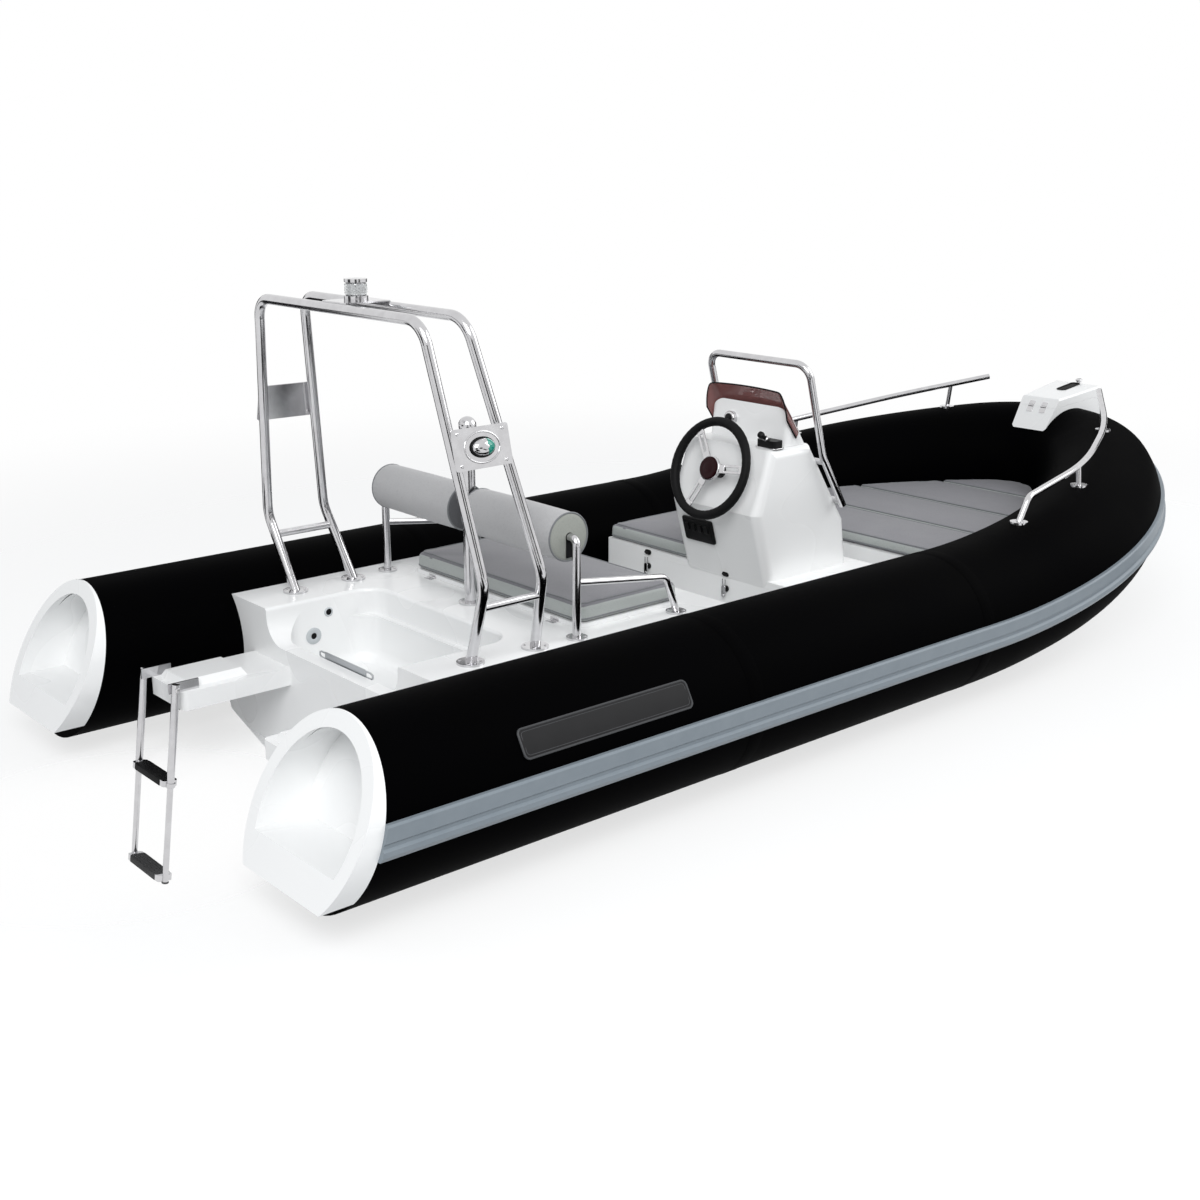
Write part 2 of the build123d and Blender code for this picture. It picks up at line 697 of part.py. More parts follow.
# Plates across the legs, each with a side light
low_z, high_z = PLATE_Z
corners = [leg_point(aft_hoop, low_z), leg_point(fore_hoop, low_z), leg_point(aft_hoop, high_z)]
plate_x = (corners[1] - corners[0]).normalized()
plate_z = plate_x.cross(corners[2] - corners[0]).normalized()
mid_z = (low_z + high_z) / 2
plate_mid = (leg_point(aft_hoop, mid_z) + leg_point(fore_hoop, mid_z)) / 2
outboard = plate_z if plate_z.Y > 0 else -plate_z
plate_plane = Plane(plate_mid + outboard * (BAR_R + 2 * SEAT_GAP), x_dir=plate_x, z_dir=outboard)
plate_w = (corners[1] - corners[0]).length + BAR_R

with BuildPart() as light_plates:
    with BuildSketch(plate_plane):
        RectangleRounded(plate_w, high_z - low_z, PLATE_T * 2)
    extrude(amount=PLATE_T)
    mirror(about=Plane.XZ)
keep(light_plates, "light_plates")

with BuildPart() as side_lights:
    with BuildSketch(plate_plane.offset(PLATE_T)):
        SlotOverall(SIDE_LIGHT_LEN, SIDE_LIGHT_W)
    extrude(amount=SIDE_LIGHT_H)
    dome = side_lights.faces().sort_by(Axis(plate_plane.origin, outboard))[-1]
    fillet(dome.edges(), radius=SIDE_LIGHT_DOME)
    mirror(about=Plane.XZ)
keep(side_lights, "side_lights")

mast_x = (top_aft + top_fore) / 2
mast_z = HOOP_TOP_Z + BAR_R + SEAT_GAP + PLATE_T
with BuildPart() as mast_light:
    with BuildSketch(Plane.XZ):
        outline = [(mast_x + radius, mast_z + height) for radius, height in MAST_LIGHT_PROFILE]
        Polygon((mast_x, mast_z), *outline, align=None)
    revolve(axis=Axis((mast_x, 0, 0), (0, 0, 1)))
keep(mast_light, "mast_light")

# Rear seat's frame, tow post and bolsters
with BuildPart() as port_seat_frame:
    add(bent_bar(
        [
            (post_x, POST_Y, DECK_Z + FOOT_T),
            (post_x, POST_Y, BOLSTER_Z),
            (post_x, BOLSTER_OUT_Y + SEAT_GAP, BOLSTER_Z),
        ],
        FRAME_R * 1.5,
        FRAME_R,
    ))
    add(bent_bar(
        [
            (post_x, POST_Y, BOLSTER_Z - FRAME_BAR_DROP),
            (seat_x + FRAME_BEND_LEN, POST_Y, BOLSTER_Z - FRAME_BAR_DROP - FRAME_BAR_FALL),
            (seat_x + FRAME_FOOT_LEN, POST_Y, DECK_Z + FOOT_T),
        ],
        3 * FRAME_BAR_R,
        FRAME_BAR_R,
    ))
    for foot_x in (post_x, seat_x + FRAME_FOOT_LEN):
        with Locations((foot_x, POST_Y, DECK_Z)):
            Cylinder(FRAME_FOOT_R, FOOT_T, align=(Align.CENTER, Align.CENTER, Align.MIN))
keep(port_seat_frame, "port_seat_frame")

with BuildPart() as starboard_seat_frame:
    add(mirrored(port_seat_frame.part))
keep(starboard_seat_frame, "starboard_seat_frame")

with BuildPart() as tow_post:
    with Locations((tow_post_x, 0, DECK_Z)):
        Cylinder(FOOT_R, FOOT_T, align=(Align.CENTER, Align.CENTER, Align.MIN))
        Cylinder(TOW_POST_R, TOW_TOP_Z - DECK_Z, align=(Align.CENTER, Align.CENTER, Align.MIN))
    with Locations((tow_post_x, 0, TOW_TOP_Z)):
        Sphere(TOW_BALL_R)
    pin_start = (tow_post_x, -BOLSTER_IN_Y + SEAT_GAP, BOLSTER_Z)
    pin_stop = (tow_post_x, BOLSTER_IN_Y - SEAT_GAP, BOLSTER_Z)
    add(straight_bar(pin_start, pin_stop, FRAME_R))
keep(tow_post, "tow_post")

with BuildPart() as port_bolster:
    inner_end = (post_x, BOLSTER_IN_Y, BOLSTER_Z)
    add(straight_bar(inner_end, (post_x, BOLSTER_OUT_Y, BOLSTER_Z), BOLSTER_R))
    fillet(port_bolster.edges().filter_by(GeomType.CIRCLE), radius=BOLSTER_R / 8)
keep(port_bolster, "port_bolster")

with BuildPart() as starboard_bolster:
    add(mirrored(port_bolster.part))
keep(starboard_bolster, "starboard_bolster")

# Rear seat's hinged board and its cushion
board_z = DECK_Z + SEAT_GAP
with BuildPart() as rear_seat_board:
    board_top = board_z + SEAT_BOARD_T
    add(block((seat_x, -SEAT_HALF, board_z), (seat_x + SEAT_LEN, SEAT_HALF, board_top)))
    fillet(rear_seat_board.edges().filter_by(Axis.Z), radius=SEAT_CORNER)
keep(rear_seat_board, "rear_seat_board")

with BuildPart() as rear_seat_cushion:
    cushion_top = board_top + SEAT_CUSHION_T
    add(block((seat_x, -SEAT_HALF, board_top), (seat_x + SEAT_LEN, SEAT_HALF, cushion_top)))
    fillet(rear_seat_cushion.edges().filter_by(Axis.Z), radius=SEAT_CORNER)
    fillet(rear_seat_cushion.edges().group_by(Axis.Z)[-1], radius=CUSHION_ROUND)
keep(rear_seat_cushion, "rear_seat_cushion")

# Console locker, open on top
locker_end = LOCKER_X + LOCKER_LEN
with BuildPart() as console_locker:
    add(block((LOCKER_X, -LOCKER_HALF, SOLE_Z), (locker_end, LOCKER_HALF, LOCKER_TOP_Z)))
    fillet(console_locker.edges().filter_by(Axis.Z), radius=LOCKER_ROUND)
    add(
        block(
            (LOCKER_X + LOCKER_WALL, LOCKER_WALL - LOCKER_HALF, SOLE_Z + LOCKER_WALL),
            (locker_end - LOCKER_WALL, LOCKER_HALF - LOCKER_WALL, LOCKER_TOP_Z + LOCKER_WALL),
        ),
        mode=Mode.SUBTRACT,
    )
    cut_room(cradle)
keep(console_locker, "console_locker")

# Console moulded on the locker's lid, with a shelf and a narrower hood over it
lid_z = LOCKER_TOP_Z + SEAT_GAP
body_outline = (
    (LOCKER_X, lid_z), KNUCKLE, SHELF_EDGE, HOOD_FOOT, NOSE, (NOSE_FOOT[0], lid_z),
)
hood_outline = (SHELF_BACK, CONSOLE_TOP, BROW, HOOD_FOOT)


def rounded_slab(outline, low_y, high_y, radius):
    """Side slab with its sides' edges rounded, apart from those along its foot."""
    with BuildPart() as slab:
        add(side_slab(outline, low_y, high_y))
        foot_z = min(z for x, z in outline)
        side_edges = slab.faces().filter_by(Axis.Y).edges()
        fillet(side_edges.filter_by(lambda edge: edge.bounding_box().max.Z > foot_z + radius), radius=radius)
    return slab.part


hood_w = console_w - 2 * HOOD_INSET
with BuildPart() as hood:
    hood_stbd = CONSOLE_STBD_Y + HOOD_INSET
    add(rounded_slab(hood_outline, hood_stbd, hood_stbd + hood_w, HOOD_ROUND))
    with BuildSketch(Plane.YZ.offset(SHELF_EDGE[0])):
        with Locations((console_mid_y, SHELF_BACK[1])):
            RectangleRounded(hood_w, 2 * (CONSOLE_TOP[1] - SHELF_BACK[1]), HOOD_SHOULDER)
    extrude(amount=NOSE[0] - SHELF_EDGE[0], mode=Mode.INTERSECT)

with BuildPart() as console_shell:
    add(rounded_slab(body_outline, CONSOLE_STBD_Y, CONSOLE_PORT_Y, CONSOLE_ROUND))
    add(hood.part)
    with BuildPart(mode=Mode.PRIVATE) as lid:
        add(block((LOCKER_X, -LOCKER_HALF, lid_z), (locker_end, LOCKER_HALF, lid_z + LID_T)))
        fillet(lid.edges().filter_by(Axis.Z), radius=LOCKER_ROUND)
        cut_room(cradle)
    add(lid.part)
keep(console_shell, "console_shell")

# Tinted screen standing on the console's brow
brow_run = Vector(CONSOLE_TOP[0] - BROW[0], 0, CONSOLE_TOP[1] - BROW[1]).normalized()
brow_out = Vector(brow_run.Z, 0, -brow_run.X)
screen_plane = Plane(
    Vector(BROW[0], console_mid_y, BROW[1]) + brow_out * SEAT_GAP + brow_run * SCREEN_H / 2,
    x_dir=(0, -1, 0),
    z_dir=brow_out,
)
with BuildPart() as windscreen:
    with BuildSketch(screen_plane):
        RectangleRounded(hood_w, SCREEN_H, SCREEN_CORNER)
    extrude(amount=SCREEN_T)
keep(windscreen, "windscreen")

# Handrail round the console
rail_port = CONSOLE_PORT_Y + HANDRAIL_OUT
rail_stbd = CONSOLE_STBD_Y - HANDRAIL_OUT
with BuildPart() as console_rail:
    rail_route = [(x, rail_port, z) for x, z in HANDRAIL_PROFILE]
    rail_route += [(x, rail_stbd, z) for x, z in reversed(HANDRAIL_PROFILE)]
    add(bent_bar(rail_route, list(HANDRAIL_BENDS), HANDRAIL_R))
    for x, z in STANDOFFS:
        add(straight_bar((x, CONSOLE_PORT_Y - CONSOLE_ROUND, z), (x, rail_port, z), STANDOFF_R))
        add(straight_bar((x, CONSOLE_STBD_Y + CONSOLE_ROUND, z), (x, rail_stbd, z), STANDOFF_R))
    add(console_shell.part, mode=Mode.SUBTRACT)
keep(console_rail, "console_rail")

# Helm: column boss on the lower dash, and the wheel about its axis
dash_run = Vector(SHELF_EDGE[0] - KNUCKLE[0], 0, SHELF_EDGE[1] - KNUCKLE[1]).normalized()
dash_out = Vector(-dash_run.Z, 0, dash_run.X)
share = (WHEEL_Z - KNUCKLE[1]) / (SHELF_EDGE[1] - KNUCKLE[1])
helm_base = Vector(KNUCKLE[0] + share * (SHELF_EDGE[0] - KNUCKLE[0]), console_mid_y, WHEEL_Z)
column_end = WHEEL_OFF - HUB_R
with BuildPart() as helm_column:
    with BuildSketch(Plane(helm_base, x_dir=(0, -1, 0), z_dir=dash_out)):
        Circle(COLUMN_R)
    extrude(amount=column_end - SEAT_GAP)
keep(helm_column, "helm_column")

wheel_centre = helm_base + dash_out * WHEEL_OFF
wheel_plane = Plane(wheel_centre, x_dir=(0, -1, 0), z_dir=dash_out)
with BuildPart() as steering_wheel:
    seam_turn = radians(sum(SPOKE_ANGLES[:2]) / 2)
    seam_dir = wheel_plane.x_dir * cos(seam_turn) + wheel_plane.y_dir * sin(seam_turn)
    with BuildSketch(Plane(wheel_centre + seam_dir * WHEEL_R, x_dir=seam_dir, z_dir=dash_out.cross(seam_dir))):
        Circle(GRIP_R)
    revolve(axis=Axis(wheel_centre, dash_out))
    with BuildSketch(wheel_plane.offset(column_end - WHEEL_OFF)):
        Circle(HUB_R)
    extrude(amount=HUB_R + GRIP_R)
    for angle in SPOKE_ANGLES:
        turn = radians(angle)
        spoke_dir = wheel_plane.x_dir * cos(turn) + wheel_plane.y_dir * sin(turn)
        with BuildSketch(Plane(wheel_centre + spoke_dir * SPOKE_START, x_dir=dash_out, z_dir=spoke_dir)):
            RectangleRounded(SPOKE_T, SPOKE_W, SPOKE_T / 3)
        extrude(amount=WHEEL_R - SPOKE_START)
keep(steering_wheel, "steering_wheel")

# Throttle box with its lever on the shelf, and a round gauge on the hood
with BuildPart() as throttle:
    box_x = (SHELF_EDGE[0] + SHELF_BACK[0]) / 2
    throttle_base = Vector(box_x, CONSOLE_STBD_Y + THROTTLE_IN, SHELF_EDGE[1])
    with BuildSketch(Plane(throttle_base)):
        RectangleRounded(THROTTLE_W, THROTTLE_LEN, THROTTLE_ROUND)
    extrude(amount=THROTTLE_H)
    lever_way = Vector(-sin(radians(LEVER_TILT)), 0, cos(radians(LEVER_TILT)))
    lever_start = throttle_base + Vector(0, 0, THROTTLE_H - LEVER_R)
    add(straight_bar(lever_start, lever_start + lever_way * LEVER_LEN, LEVER_R))
keep(throttle, "throttle")

hood_run = Vector(CONSOLE_TOP[0] - SHELF_BACK[0], 0, CONSOLE_TOP[1] - SHELF_BACK[1]).normalized()
hood_out = Vector(-hood_run.Z, 0, hood_run.X)
with BuildPart() as gauge:
    gauge_share = (GAUGE_Z - SHELF_BACK[1]) / (CONSOLE_TOP[1] - SHELF_BACK[1])
    gauge_x = SHELF_BACK[0] + gauge_share * (CONSOLE_TOP[0] - SHELF_BACK[0])
    gauge_at = (gauge_x, CONSOLE_PORT_Y - GAUGE_IN, GAUGE_Z)
    with BuildSketch(Plane(gauge_at, x_dir=(0, -1, 0), z_dir=hood_out)):
        Circle(GAUGE_R)
    extrude(amount=GAUGE_T)
    fillet(gauge.edges().sort_by(Axis.X)[0], radius=GAUGE_ROUND)
keep(gauge, "gauge")

# Cushion on the lid, to port of the console
with BuildPart() as side_cushion:
    side_z = lid_z + LID_T + SEAT_GAP
    add(
        block(
            (LOCKER_X + CUSHION_EDGE, CONSOLE_PORT_Y + CUSHION_EDGE, side_z),
            (locker_end - CUSHION_EDGE, LOCKER_HALF - CUSHION_EDGE, side_z + CUSHION_T),
        )
    )
    fillet(side_cushion.edges().group_by(Axis.Z)[-1], radius=CUSHION_ROUND)
    cut_room(cradle)
keep(side_cushion, "side_cushion")

# Bow deck and its cushions
bow_step = (APEX_X - BOW_DECK_X) / BOW_PLAN_STEPS
bow_stations = [BOW_DECK_X + step * bow_step for step in range(BOW_PLAN_STEPS + 1)]
port_plan = [(x, tube_axis_at(x)[0]) for x in bow_stations]
starboard_plan = [(x, -y) for x, y in reversed(port_plan[:-1])]


def bow_slab(low_z, high_z):
    """Slab between the tubes' axes, forward of the bow deck's aft face."""
    with BuildPart() as slab:
        with BuildSketch(Plane.XY.offset(low_z)):
            Polygon(*port_plan, *starboard_plan, align=None)
        extrude(amount=high_z - low_z)
    return slab.part


with BuildPart() as bow_deck:
    for x, keel_z, chine_y, chine_z, edge_y, edge_z in HULL_STATIONS[1:]:
        with BuildSketch(Plane.YZ.offset(x)):
            Polygon(
                (edge_y, edge_z), (edge_y, BOW_DECK_Z), (-edge_y, BOW_DECK_Z), (-edge_y, edge_z), align=None
            )
    loft(ruled=True)
    cut_room(cradle)
keep(bow_deck, "bow_deck")

for index, (aft_x, fore_x) in enumerate(zip(BOW_CUSHION_EDGES, BOW_CUSHION_EDGES[1:]), start=1):
    with BuildPart() as bow_cushion:
        add(bow_slab(BOW_DECK_Z + SEAT_GAP, BOW_DECK_Z + BOW_CUSHION_T))
        split(bisect_by=Plane.YZ.offset(aft_x), keep=Keep.TOP)
        split(bisect_by=Plane.YZ.offset(fore_x - BOW_CUSHION_GAP), keep=Keep.BOTTOM)
        cut_room(cushion_room)
    keep(bow_cushion, f"bow_cushion_{index}")

# Bow box on the tubes, with a hinged lid
box_plan = (
    (BOX_AFT[0], BOX_AFT_HALF), (BOX_FORE[0], BOX_FORE_HALF),
    (BOX_FORE[0], -BOX_FORE_HALF), (BOX_AFT[0], -BOX_AFT_HALF),
)


def above_crown(points, lift=0.0):
    """Outline points whose heights are measured from the tube's crown at the apex."""
    return [(x, crown_z + z + lift) for x, z in points]


with BuildPart() as bow_box:
    box_outline = above_crown((BOX_AFT, BOX_SPLIT_AFT, BOX_SPLIT_FORE, BOX_FORE))
    add(side_slab(box_outline, -2 * BOX_FORE_HALF, 2 * BOX_FORE_HALF))
    with BuildSketch(Plane.XY):
        Polygon(*box_plan, align=None)
    extrude(amount=HOOP_TOP_Z, mode=Mode.INTERSECT)
    cut_room(cradle)
keep(bow_box, "bow_box")

with BuildPart() as anchor_lid:
    lid_outline = above_crown((BOX_SPLIT_AFT, LID_TOP_AFT, LID_TOP_FORE, BOX_SPLIT_FORE), 2 * SEAT_GAP)
    add(side_slab(lid_outline, -2 * BOX_FORE_HALF, 2 * BOX_FORE_HALF))
    with BuildSketch(Plane.XY):
        Polygon(*box_plan, align=None)
    extrude(amount=HOOP_TOP_Z, mode=Mode.INTERSECT)
    lid_top = anchor_lid.faces().sort_by(Axis.Z)[-1]
    fillet(lid_top.edges(), radius=LID_ROUND)
keep(anchor_lid, "anchor_lid")


def tube_top(x):
    """Point on top of the port tube at a station."""
    y, z = tube_axis_at(x)
    return Vector(x, y, z + TUBE_R)


# Bow rails on round pads
with BuildPart() as port_bow_rail:
    foot = tube_top(BOW_RAIL_FOOT_X)
    add(bent_bar([foot + Vector(0, 0, RAIL_SEAT), *BOW_RAIL_ROUTE], list(BOW_RAIL_BENDS), BOW_RAIL_R))
    stops = [foot]
    for prop_x in BOW_RAIL_PROPS:
        base = tube_top(prop_x)
        stops.append(base)
        for (x0, y0, z0), (x1, y1, z1) in zip(BOW_RAIL_ROUTE, BOW_RAIL_ROUTE[1:]):
            if x0 <= prop_x < x1:
                part_way = (prop_x - x0) / (x1 - x0)
                meet = Vector(prop_x, y0 + part_way * (y1 - y0), z0 + part_way * (z1 - z0))
        add(straight_bar(base + Vector(0, 0, RAIL_SEAT), meet, BOW_PROP_R))
    for base in stops:
        with Locations(base - Vector(0, 0, PAD_T)):
            Cylinder(PAD_R, 2 * PAD_T, align=(Align.CENTER, Align.CENTER, Align.MIN))
    cut_room(cradle)
keep(port_bow_rail, "port_bow_rail")

with BuildPart() as starboard_bow_rail:
    add(mirrored(port_bow_rail.part))
keep(starboard_bow_rail, "starboard_bow_rail")

# Clamp plate inside the transom, and the towing eye on the stem
with BuildPart() as transom_plate:
    add(
        block(
            (TRANSOM_T, -CLAMP_HALF, TRANSOM_Z - CLAMP_DROP - CLAMP_H),
            (TRANSOM_T + PLATE_T, CLAMP_HALF, TRANSOM_Z - CLAMP_DROP),
        )
    )
keep(transom_plate, "transom_plate")

(x0, keel0, *_), (x1, keel1, *_) = HULL_STATIONS[-2:]
eye_z = keel0 + (EYE_X - x0) / (x1 - x0) * (keel1 - keel0)
with BuildPart() as bow_eye:
    eye_centre = Vector(EYE_X + EYE_R, 0, eye_z - EYE_DROP)
    with BuildSketch(Plane(eye_centre, x_dir=(1, 0, 0), z_dir=(0, -1, 0))):
        Circle(EYE_R)
        with Locations((-EYE_R, EYE_LUG_UP)):
            Rectangle(EYE_LUG, EYE_LUG)
        Circle(EYE_HOLE_R, mode=Mode.SUBTRACT)
    extrude(amount=EYE_T / 2, both=True)
    add(hull.part, mode=Mode.SUBTRACT)
keep(bow_eye, "bow_eye")
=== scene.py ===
# %% [markdown]
# # A rigid inflatable boat
# The shapes and joints of this boat come from its CAD model, and this file dresses them. It gives each
# part the finish of the real one, swaps the plain cushions for stuffed ones, and adds the small fittings.
# All lengths are in metres. +X points to the bow, +Y to port and +Z up, and Z = 0 is the waterline.

# %% Load the boat's frame
import bpy
import bmesh
import json
from math import atan2, cos, pi, radians, sin
from mathutils import Matrix, Vector


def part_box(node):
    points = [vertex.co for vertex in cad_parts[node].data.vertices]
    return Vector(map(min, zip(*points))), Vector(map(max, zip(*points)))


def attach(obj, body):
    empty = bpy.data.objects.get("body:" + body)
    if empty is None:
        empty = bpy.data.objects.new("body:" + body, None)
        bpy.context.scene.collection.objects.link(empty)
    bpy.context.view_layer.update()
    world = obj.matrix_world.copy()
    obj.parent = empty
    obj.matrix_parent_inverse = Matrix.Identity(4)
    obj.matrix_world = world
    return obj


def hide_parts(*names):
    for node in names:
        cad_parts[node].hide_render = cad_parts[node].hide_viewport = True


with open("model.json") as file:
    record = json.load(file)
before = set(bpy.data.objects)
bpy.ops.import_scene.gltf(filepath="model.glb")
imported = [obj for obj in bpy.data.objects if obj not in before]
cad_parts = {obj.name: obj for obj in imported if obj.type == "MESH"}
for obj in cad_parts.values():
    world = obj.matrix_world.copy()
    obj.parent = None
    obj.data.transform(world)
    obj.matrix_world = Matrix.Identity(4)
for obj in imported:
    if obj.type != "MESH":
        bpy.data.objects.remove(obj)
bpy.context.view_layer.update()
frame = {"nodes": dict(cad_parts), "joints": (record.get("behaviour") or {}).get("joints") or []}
parts = frame["nodes"]
scene = bpy.context.scene

# %% [markdown]
# ## Camera
# The photograph was taken from the starboard quarter, a little above the roll bar. A camera needs a place,
# a direction and a lens. These were worked out from the boat's own straight edges, so the picture's
# perspective matches. The small shifts keep the boat where it stands in the frame.

# %% Set the camera
CAMERA_AT = (-2.451, -4.153, 2.010)
CAMERA_YAW = 49.12      # degrees from the bow towards port
CAMERA_PITCH = 15.77    # degrees downwards


def stand(name, data):
    """Put a new object into the scene."""
    made = bpy.data.objects.new(name, data)
    scene.collection.objects.link(made)
    return made


camera = stand("camera", bpy.data.cameras.new("camera"))
camera.location = CAMERA_AT
camera.rotation_euler = (radians(90 - CAMERA_PITCH), 0, radians(CAMERA_YAW - 90))
camera.data.lens = 46.3
camera.data.sensor_width = 36
camera.data.shift_x = 0.0036
camera.data.shift_y = -0.0161
scene.camera = camera
scene.view_settings.view_transform = "Standard"
print("camera looks along", CAMERA_YAW, "degrees, lens", camera.data.lens, "mm")

# %% [markdown]
# ## Nodes and colours
# Materials are graphs of nodes. One small function adds a node, sets it and links it, which keeps each
# material short to read. Colours are written as the hex values that a paint chart gives, and the renderer
# wants them in linear light, so another function turns one into the other.

# %% Helpers for materials


def linear(hex_colour):
    """Turn an sRGB hex colour into linear light."""
    channels = [int(hex_colour[i : i + 2], 16) / 255 for i in (1, 3, 5)]
    return tuple(c / 12.92 if c <= 0.04045 else ((c + 0.055) / 1.055) ** 2.4 for c in channels) + (1.0,)


def add_node(tree, kind, settings=None, sockets=None, links=None):
    """Add a node with its settings, its socket values and its links."""
    made = tree.nodes.new(kind)
    for name, value in (settings or {}).items():
        setattr(made, name, value)
    for name, value in (sockets or {}).items():
        made.inputs[name].default_value = value
    for name, source in (links or {}).items():
        tree.links.new(source, made.inputs[name])
    return made


def start_material(name, colour, sockets):
    """A material with one principled shader, its colour and its constant values."""
    material = bpy.data.materials.new(name)
    material.use_nodes = True
    material.diffuse_color = linear(colour)
    shader = material.node_tree.nodes["Principled BSDF"]
    shader.inputs["Base Color"].default_value = linear(colour)
    for socket, value in sockets.items():
        shader.inputs[socket].default_value = value
    return material, material.node_tree, shader


def per_metre(millimetres):
    """Scale of a pattern whose features are this far apart."""
    return 1000 / millimetres


print("white in linear light:", linear("#ffffff"))

# %% [markdown]
# ## Studio
# A product picture of a boat is made in a wide white studio. The world is white to the camera and to
# mirrors, and softer as a light, so the white mouldings keep their shading. One large lamp stands over the
# stern and one fills in from the bow.

# %% Build the studio
world = bpy.data.worlds.new("white studio")
scene.world = world
world.use_nodes = True
sky = world.node_tree
sky.nodes.clear()
seen_by = add_node(sky, "ShaderNodeLightPath")
seen = seen_by.outputs["Is Camera Ray"]
for ray in ("Is Glossy Ray", "Is Transmission Ray"):
    either = {0: seen, 1: seen_by.outputs[ray]}
    seen = add_node(sky, "ShaderNodeMath", {"operation": "MAXIMUM"}, links=either).outputs[0]
soft_light = add_node(sky, "ShaderNodeBackground", sockets={"Color": linear("#f7f9fc"), "Strength": 0.52})
backdrop = add_node(sky, "ShaderNodeBackground", sockets={"Color": linear("#ffffff"), "Strength": 1.0})
lit_by = {0: seen, 1: soft_light.outputs[0], 2: backdrop.outputs[0]}
sky_mix = add_node(sky, "ShaderNodeMixShader", links=lit_by)
add_node(sky, "ShaderNodeOutputWorld", links={"Surface": sky_mix.outputs[0]})

LAMPS = (
    # name, place, aimed at, size, watts
    ("key over the stern", (-4.0, -5.5, 6.5), (1.2, 0.0, 0.4), 5.0, 580),
    ("fill from the bow", (7.5, -4.0, 5.0), (1.8, 0.0, 0.4), 5.0, 260),
)
for name, place, target, size, watts in LAMPS:
    lamp = stand(name, bpy.data.lights.new(name, "AREA"))
    lamp.data.size = size
    lamp.data.energy = watts
    lamp.location = place
    lamp.rotation_euler = (Vector(target) - Vector(place)).to_track_quat("-Z", "Y").to_euler()
print("lamps:", len(LAMPS))

# %% [markdown]
# ## Dark boards
# Polished metal shows only what stands round it, and in an all-white room it looks like white plastic.
# Photographers put up black boards, so that dark streaks run along the tubes. These boards stand in a ring,
# and black cloths lie on the floor where the camera stands, because an upright tube seen from above mirrors
# the floor. Only mirror rays meet them, so they cast no shadow and hide nothing.

# %% Put up the boards
BOAT_MID = 1.8
BOARD_STEPS = 12
UPRIGHT = ((12.0, 0.1), (12.0, 3.2))   # distance from the boat's middle and height of the two long edges
LYING = ((2.7, 0.02), (8.0, 0.02))
BOARDS = (
    # name, its long edges, middle and width in degrees round the boat
    ("board_bow", UPRIGHT, 12, 30), ("board_port", UPRIGHT, 88, 34), ("board_stern", UPRIGHT, 170, 26),
    ("board_quarter", UPRIGHT, 232, 20), ("board_starboard", UPRIGHT, 266, 18),
    ("cloth_quarter", LYING, 226, 26), ("cloth_starboard", LYING, 276, 14), ("cloth_bow", LYING, 330, 20),
    ("cloth_port", LYING, 120, 30),
)
board_black = bpy.data.materials.new("black board cloth")
board_black.use_nodes = True
tree = board_black.node_tree
tree.nodes.clear()
glow = add_node(tree, "ShaderNodeEmission", sockets={"Color": linear("#161618"), "Strength": 1.0})
add_node(tree, "ShaderNodeOutputMaterial", links={"Surface": glow.outputs[0]})
for name, edges, middle, width in BOARDS:
    angles = [radians(middle + width * (k / BOARD_STEPS - 0.5)) for k in range(BOARD_STEPS + 1)]
    points = [(BOAT_MID + reach * cos(a), reach * sin(a), z) for reach, z in edges for a in angles]
    row = len(angles)
    cloth = bpy.data.meshes.new(name)
    cloth.from_pydata(points, [], [(k, k + 1, k + 1 + row, k + row) for k in range(BOARD_STEPS)])
    cloth.materials.append(board_black)
    board = stand(name, cloth)
    for ray in ("camera", "diffuse", "transmission", "shadow", "volume_scatter"):
        setattr(board, f"visible_{ray}", False)
print("boards:", len(BOARDS))

# %% [markdown]
# ## Floor
# The floor lies at the waterline. It is pale and partly see-through, and clearest round the ladder, so that
# its lower step still shows. It keeps the boat's shadow, and further out it fades away, so no horizon shows.

# %% Lay the floor
FLOOR_HALF = 30.0
floor_mesh = bpy.data.meshes.new("floor")
corners = [(x * FLOOR_HALF, y * FLOOR_HALF, 0) for x, y in ((-1, -1), (1, -1), (1, 1), (-1, 1))]
floor_mesh.from_pydata(corners, [], [(0, 1, 2, 3)])
floor = stand("floor", floor_mesh)
floor_finish = bpy.data.materials.new("pale water-clear floor")
floor_finish.use_nodes = True
pane = floor_finish.node_tree
pane.nodes.clear()
pale = add_node(pane, "ShaderNodeBsdfDiffuse", sockets={"Color": linear("#fbfcfd")})
clear = add_node(pane, "ShaderNodeBsdfTransparent")
spot = add_node(pane, "ShaderNodeTexCoord").outputs["Object"]
shares = []
for centre, near, far, at_near, at_far in (
    ((1.9, 0.0, 0.0), 3.0, 7.0, 0.30, 0.0),         # fades away round the boat
    ((-0.70, 0.08, 0.0), 0.3, 0.75, 0.1, 1.0),      # clearer by the ladder
):
    away = add_node(pane, "ShaderNodeVectorMath", {"operation": "DISTANCE"}, {1: centre}, {0: spot})
    ends = {"From Min": near, "From Max": far, "To Min": at_near, "To Max": at_far}
    fading = add_node(
        pane, "ShaderNodeMapRange", {"interpolation_type": "SMOOTHSTEP"}, ends,
        {"Value": away.outputs["Value"]},
    )
    shares.append(fading.outputs["Result"])
veil = add_node(pane, "ShaderNodeMath", {"operation": "MULTIPLY"}, links=dict(enumerate(shares)))
pane_mix = add_node(
    pane, "ShaderNodeMixShader", links={0: veil.outputs[0], 1: clear.outputs[0], 2: pale.outputs[0]}
)
add_node(pane, "ShaderNodeOutputMaterial", links={"Surface": pane_mix.outputs[0]})
floor_mesh.materials.append(floor_finish)
print("floor at the waterline,", 2 * FLOOR_HALF, "m across")

